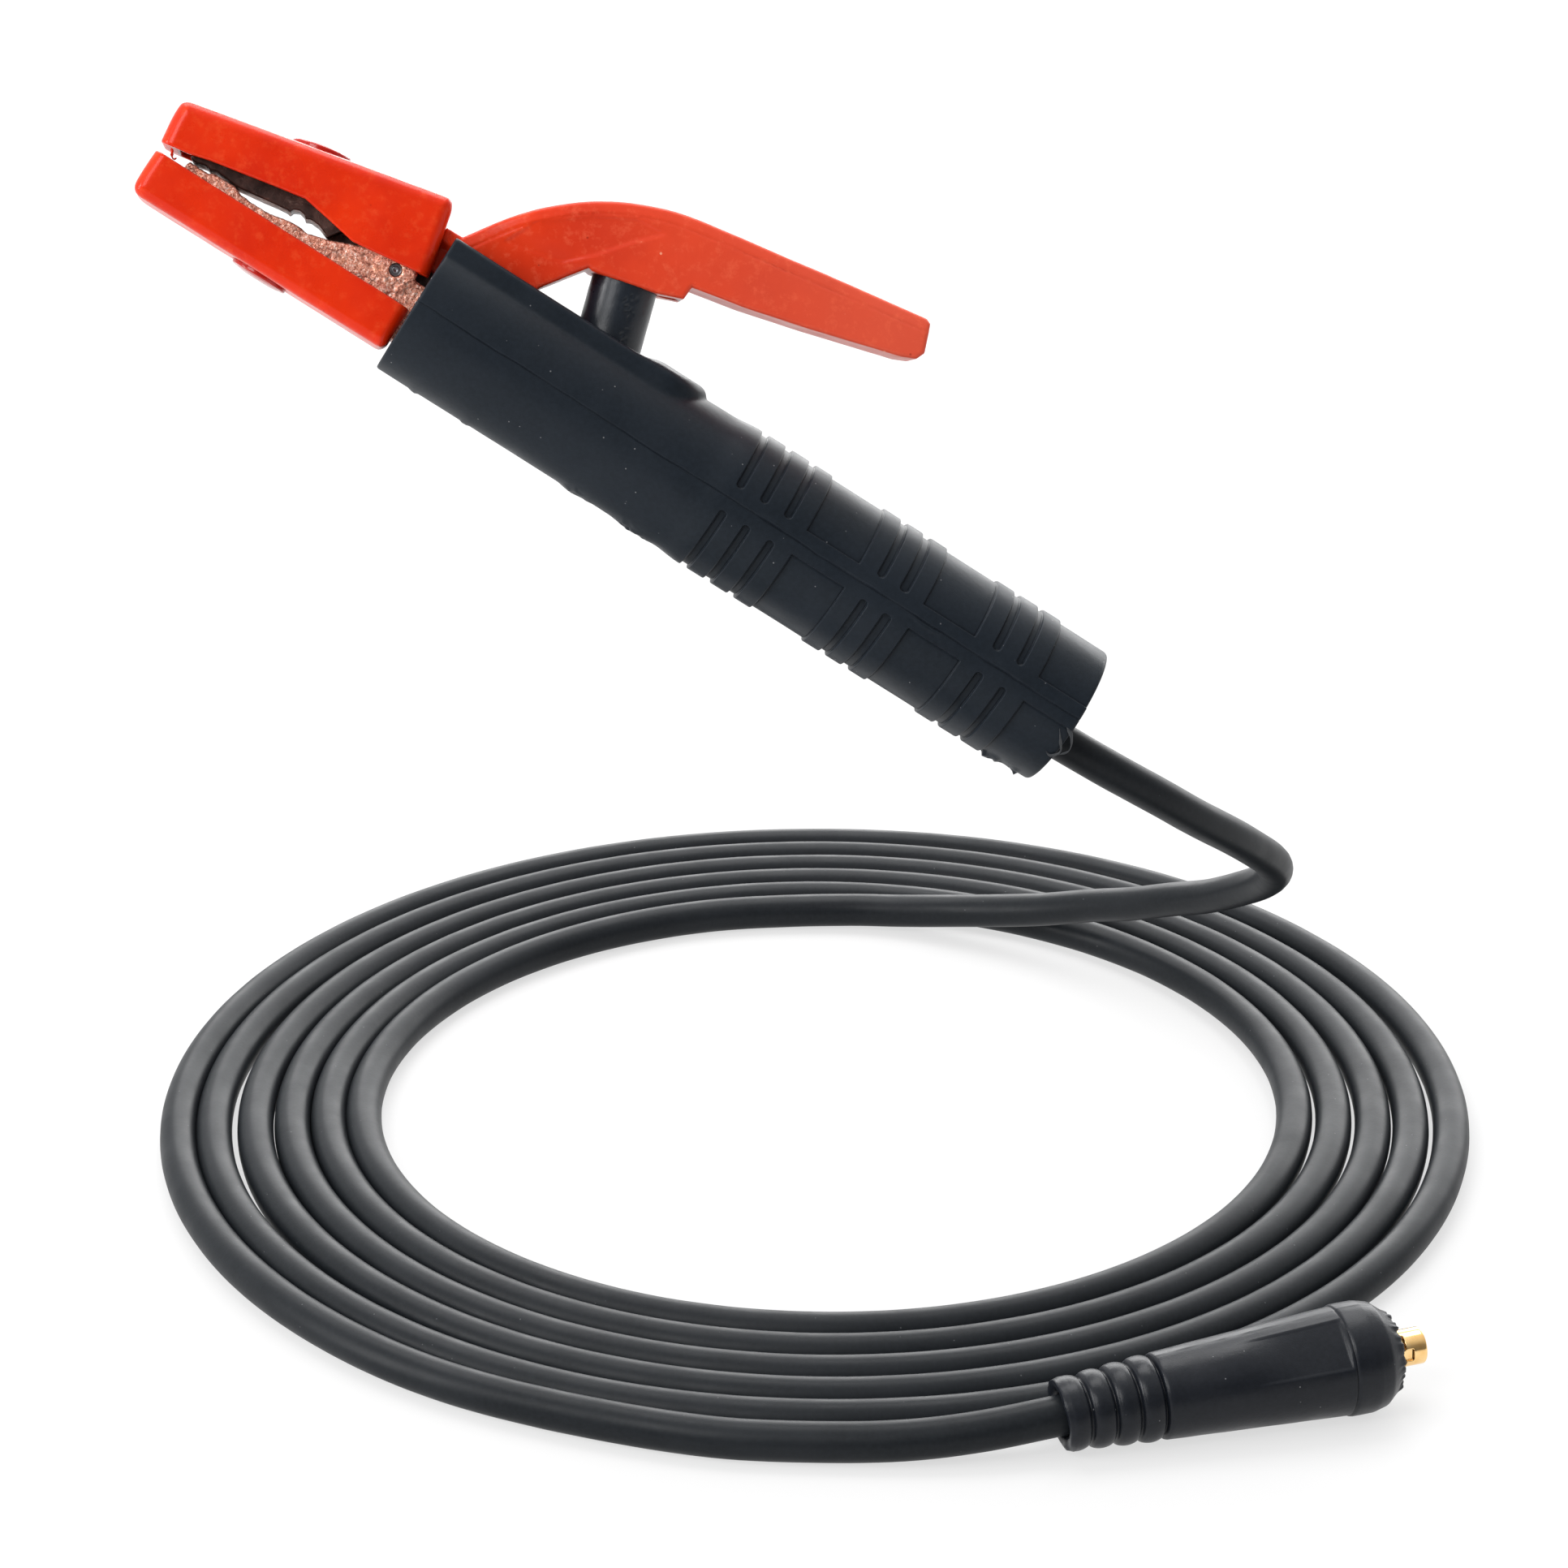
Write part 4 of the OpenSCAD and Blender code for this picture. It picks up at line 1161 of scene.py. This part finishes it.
lever = field_piece("squeeze_lever", lever_field, (-6.0, -10.6, 7.5), (113.4, 10.6, 66), 0.42, M_LEVER, lever_warp)
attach(lever, "lever_side"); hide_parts("lever")


def sleeve_piece():
    """A blind tube: a rounded lip below, pits in its skin on one side."""
    seg = 128
    outer = [(-11.6, 6.62), (-11.85, 7.1), (-11.75, 7.9), (-11.3, 8.25)]
    outer += [(s, 8.38) for s in np.arange(-10.9, 17.8, 0.42)]
    outer += [(18.15, 8.1), (18.3, 7.4), (18.3, 4), (18.3, 0.01)]
    inner = [(16.7, 0.01), (16.7, 4), (16.7, 6.2), (16.3, 6.6), (10, 6.6), (0, 6.6), (-8, 6.6)]
    prof = np.array(outer + inner, float)
    th = np.arange(seg) * 2 * math.pi / seg
    S = np.repeat(prof[:, 0][:, None], seg, 1)
    R = np.repeat(prof[:, 1][:, None], seg, 1)
    T = np.repeat(th[None], len(prof), 0)
    X, Y = R * np.cos(T), R * np.sin(T)
    P = np.stack([X, Y, S], -1)
    skin = np.zeros(S.shape)
    skin[3:len(outer) - 3] = 1
    # two patches of pits: one high, one low, both to the cable side of the near face
    angle = np.degrees(np.angle(np.exp(1j * (T - math.radians(-76)))))
    patch = np.exp(-(angle / 13) ** 2) * (np.exp(-((S - 8.0) / 3.2) ** 2) + 0.8 * np.exp(-((S + 0.5) / 4) ** 2))
    n1 = noise(P, 0.7, 11) + 0.45 * noise(P, 0.4, 12)
    R = R - skin * 0.42 * step(0.25, 0.75, n1 * patch * 1.6)
    R = R + skin * 0.05 * fbm(P, 3.2, 13)
    P = np.stack([R * np.cos(T), R * np.sin(T), S], -1)
    faces = [list(f) for f in grid_faces(len(prof), seg, wrap=True)]
    a = (len(prof) - 1) * seg
    faces += [[a + j, a + (j + 1) % seg, (j + 1) % seg, j] for j in range(seg)]
    return weld(make("sleeve", on_sleeve(P.reshape(-1, 3)), faces, M_SLEEVE), 3e-5)


sleeve = sleeve_piece()
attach(sleeve, "lever_side"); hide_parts("spring_sleeve")

SEAT, TOP_S, WIRE, SPRING_R, TURNS = -29.0, 18.4 - 1.7, 1.5, 4.75, 8
rise = TOP_S - 0.1 - SEAT - WIRE
a = np.linspace(0, TURNS + 2, (TURNS + 2) * 28 + 1)
lift = SEAT + WIRE / 2 + 0.05 + np.where(a < 1, a * WIRE * 1.0, np.where(
    a > TURNS + 1, rise - (TURNS + 2 - a) * WIRE, WIRE + (rise - 2 * WIRE) * (a - 1) / TURNS))
coil_line = np.stack([SPRING_R * np.cos(2 * np.pi * a), SPRING_R * np.sin(2 * np.pi * a), lift], -1)
spring = tube("return_spring", coil_line, WIRE / 2, 12, on_sleeve, M_SPRING)
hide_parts("spring")

# ---------------------------------------------------------------- the plug
RIBS = [(0.0, 9.0), (6.1, 9.4), (12.1, 9.9), (18.1, 10.4)]


def boot_profile():
    pts = [(1.2, 5.35), (0.45, 6.2), (0.0, 7.4), (0.15, 8.3)]
    for k, (s, r) in enumerate(RIBS):
        for t in np.linspace(0, 1, 15):
            w = math.sin(math.pi * t) ** 0.42 if 0 < t < 1 else 0
            if k == 0 and t < 0.3:
                w = max(w, 0.55 + 0.45 * (t / 0.3))
            pts.append((s + 0.22 + 5.56 * t, r - 1.3 + 1.3 * w))
        pts.append((s + 5.9, r - 1.7))
    pts += [(24.25, 9.1), (24.35, 9.9), (24.7, 10.35), (25.2, 10.5)]
    pts += [(s, 10.45 + (13.2 - 10.45) * (s - 24.6) / 45.9) for s in np.arange(26, 70.3, 0.9)]
    pts += [(70.6, 13.2), (70.75, 13.02), (70.9, 13.0), (71.0, 13.25), (71.25, 13.5), (71.8, 13.6), (73.5, 13.62),
            (75.5, 13.6), (76.8, 13.6), (77.3, 13.5), (78.6, 13.2), (80.0, 12.85), (80.5, 12.6), (81.0, 12.2),
            (82.2, 11.2), (83.0, 10.5), (83.7, 9.95), (84.2, 9.6), (84.5, 9.1), (84.45, 8.3), (84.2, 7.0), (84.2, 4.75), (83.4, 4.6)]
    return pts


def plug_boot_piece():
    prof = np.array(boot_profile(), float)
    seg = 200
    th = np.arange(seg) * 2 * math.pi / seg
    X = np.repeat(prof[:, 0][:, None], seg, 1)
    R = np.repeat(prof[:, 1][:, None], seg, 1)
    T = np.repeat(th[None], len(prof), 0)   # y = r sin, z = r cos: the camera's side is towards -y
    deg = np.degrees(T)
    P = np.stack([X, R * np.sin(T), R * np.cos(T)], -1)
    # a flat on each side that fades in from mid-body to the collar
    for centre in (321, 141):
        off = np.abs(np.degrees(np.angle(np.exp(1j * (T - math.radians(centre))))))
        plane = R * math.cos(math.radians(29)) / np.maximum(np.cos(np.radians(off)), 0.5)
        on = (off < 29) & (X > 42) & (X < 70.6)
        R = np.where(on, R - np.clip(R - plane, 0, 3) * step(42, 62, X) * 0.8 - 0.26 * step(43, 52, X), R)
    # the split line of the mould, above and below, with a thin fin
    for centre in (8, 188):
        off = np.degrees(np.angle(np.exp(1j * (T - math.radians(centre)))))
        R = R + 0.16 * np.exp(-(off / 1.1) ** 2) * step(24, 26, X) * (1 - step(80, 83, X)) \
            * (0.55 + 0.6 * noise(np.stack([X, X * 0, X * 0], -1), 2.2, int(centre)))
    # the ragged rim round the front face
    jag = noise(np.stack([np.cos(T) * 9.4, np.sin(T) * 9.4, X * 0], -1), 0.95, 17) \
        + 0.6 * noise(np.stack([np.cos(T) * 9.4, np.sin(T) * 9.4, X * 0], -1), 0.45, 18)
    rim = np.exp(-((X - 84.0) / 0.8) ** 2) * (R > 8.8)
    X = X + rim * (0.45 * jag + 0.25)
    R = R + rim * 0.22 * jag + 0.05 * fbm(P, 5, 23) * (R > 6)
    # the lip round the cable: uneven, a little open at the top
    lip = np.exp(-((X - 0.3) / 1.2) ** 2) * (R > 5)
    X = X - lip * (0.35 * np.cos(T) + 0.3 * noise(P, 3, 29))
    body = np.stack([X, R * np.sin(T), R * np.cos(T)], -1)
    inner = [(83.4, 4.62), (83.4, 7.55), (80, 7.62), (47.2, 7.62), (47.1, 5.2), (24, 5.2), (2.2, 5.2)]
    In = np.array(inner)
    IX = np.repeat(In[:, 0][:, None], seg, 1)
    IR = np.repeat(In[:, 1][:, None], seg, 1)
    Ti = np.repeat(th[None], len(In), 0)
    P = np.vstack([body.reshape(-1, 3), np.stack([IX, IR * np.sin(Ti), IR * np.cos(Ti)], -1).reshape(-1, 3)])
    rows = len(prof) + len(In)
    faces = [list(f) for f in grid_faces(rows, seg, wrap=True)]
    a = (rows - 1) * seg
    faces += [[a + j, a + (j + 1) % seg, (j + 1) % seg, j] for j in range(seg)]
    return weld(make("plug_sleeve", plug(P), faces, M_PLUG), 2e-6)


boot = plug_boot_piece()
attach(boot, "holder"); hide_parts("plug_boot")


def contact_field(x, y, z):
    r = np.hypot(y, z)
    inner = prism(np.abs(x - 65.7) - 17.8, r - 7.5, 0.4)
    out = prism(np.abs(x - 84.2) - 8.3, r - 4.5, 0.55)
    d = np.minimum(inner, out)
    # a neck next to the face on the near side, then the lug's step
    neck = np.maximum(np.maximum(83.2 - x, x - 87.0), np.maximum(-(r - 3.55), np.minimum(y + 1.2, 99)))
    d = smax(d, -neck, 0.15)
    d = smax(d, -np.maximum(np.maximum(86.6 - x, x - 88.9), np.maximum(y + 3.5, np.abs(z - 0.3) - 1.5)), 0.15)
    d = np.maximum(d, -np.maximum(r - 4.0, x - 67))
    d = np.maximum(d, -np.maximum(r - 2.0, 91.6 - x))
    return np.maximum(d, -np.maximum(np.hypot(x - 57, y) - 2.52, -z))


contact = field_piece("contact_pin", contact_field, (47.2, -8.4, -8.4), (93.4, 8.4, 8.4), 0.28, M_BRASS,
                      to_row=plug)
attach(contact, "holder"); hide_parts("plug_pin")

# ---------------------------------------------------------------- torn flash round the cable exit
films = [
    thin_film("exit_flash_a", [(181.5, -19.15, -0.6), (184.5, -19.3, -0.9), (187.9, -19.3, -1.3), (190.5, -19.1, -3.1),
                               (193.0, -18.7, -4.9), (194.4, -17.5, -8.0), (192.2, -16.0, -10.7)], 1.0, 0.2, 5, M_FILM),
    thin_film("exit_flash_b", [(189.0, -19.1, -4.4), (191.2, -18.3, -7.2), (192.8, -16.9, -9.4),
                               (191.2, -15.9, -11.4), (189.8, -15.9, -11.0)], 0.8, 0.18, 9, M_FILM)]
flake = thin_film("moulding_flake", [(-70.9, -9.0, 0.1), (-70.2, -9.4, -0.7), (-69.7, -9.2, -1.6), (-69.0, -8.8, -2.0),
                                     (-68.5, -8.9, -1.3)], 0.9, 0.16, 21, M_RED)
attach(flake, "lever_side")
for o in films:
    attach(o, "holder")

# ---------------------------------------------------------------- hidden pieces keep their CAD meshes
for node, mat in (("upper_insulator_screw", M_STEEL), ("lower_insulator_screw", M_STEEL), ("lever_screw", M_STEEL),
                  ("spring_post", M_STEEL), ("handle_screw", M_STEEL), ("cable_clamp_screws", M_STEEL),
                  ("cable_ferrule", M_WIRE), ("cable_strands", M_WIRE), ("cable_inner", M_CABLE),
                  ("plug_screw", M_STEEL), ("plug_ferrule", M_WIRE), ("plug_strands", M_WIRE)):
    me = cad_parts[node].data
    me.materials.clear()
    me.materials.append(mat)

# ---------------------------------------------------------------- the spring's seat and mouth points, and the spring baked in place
seat, mouth = on_sleeve([[0, 0, SEAT], [0, 0, -8.0]])
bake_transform(spring)
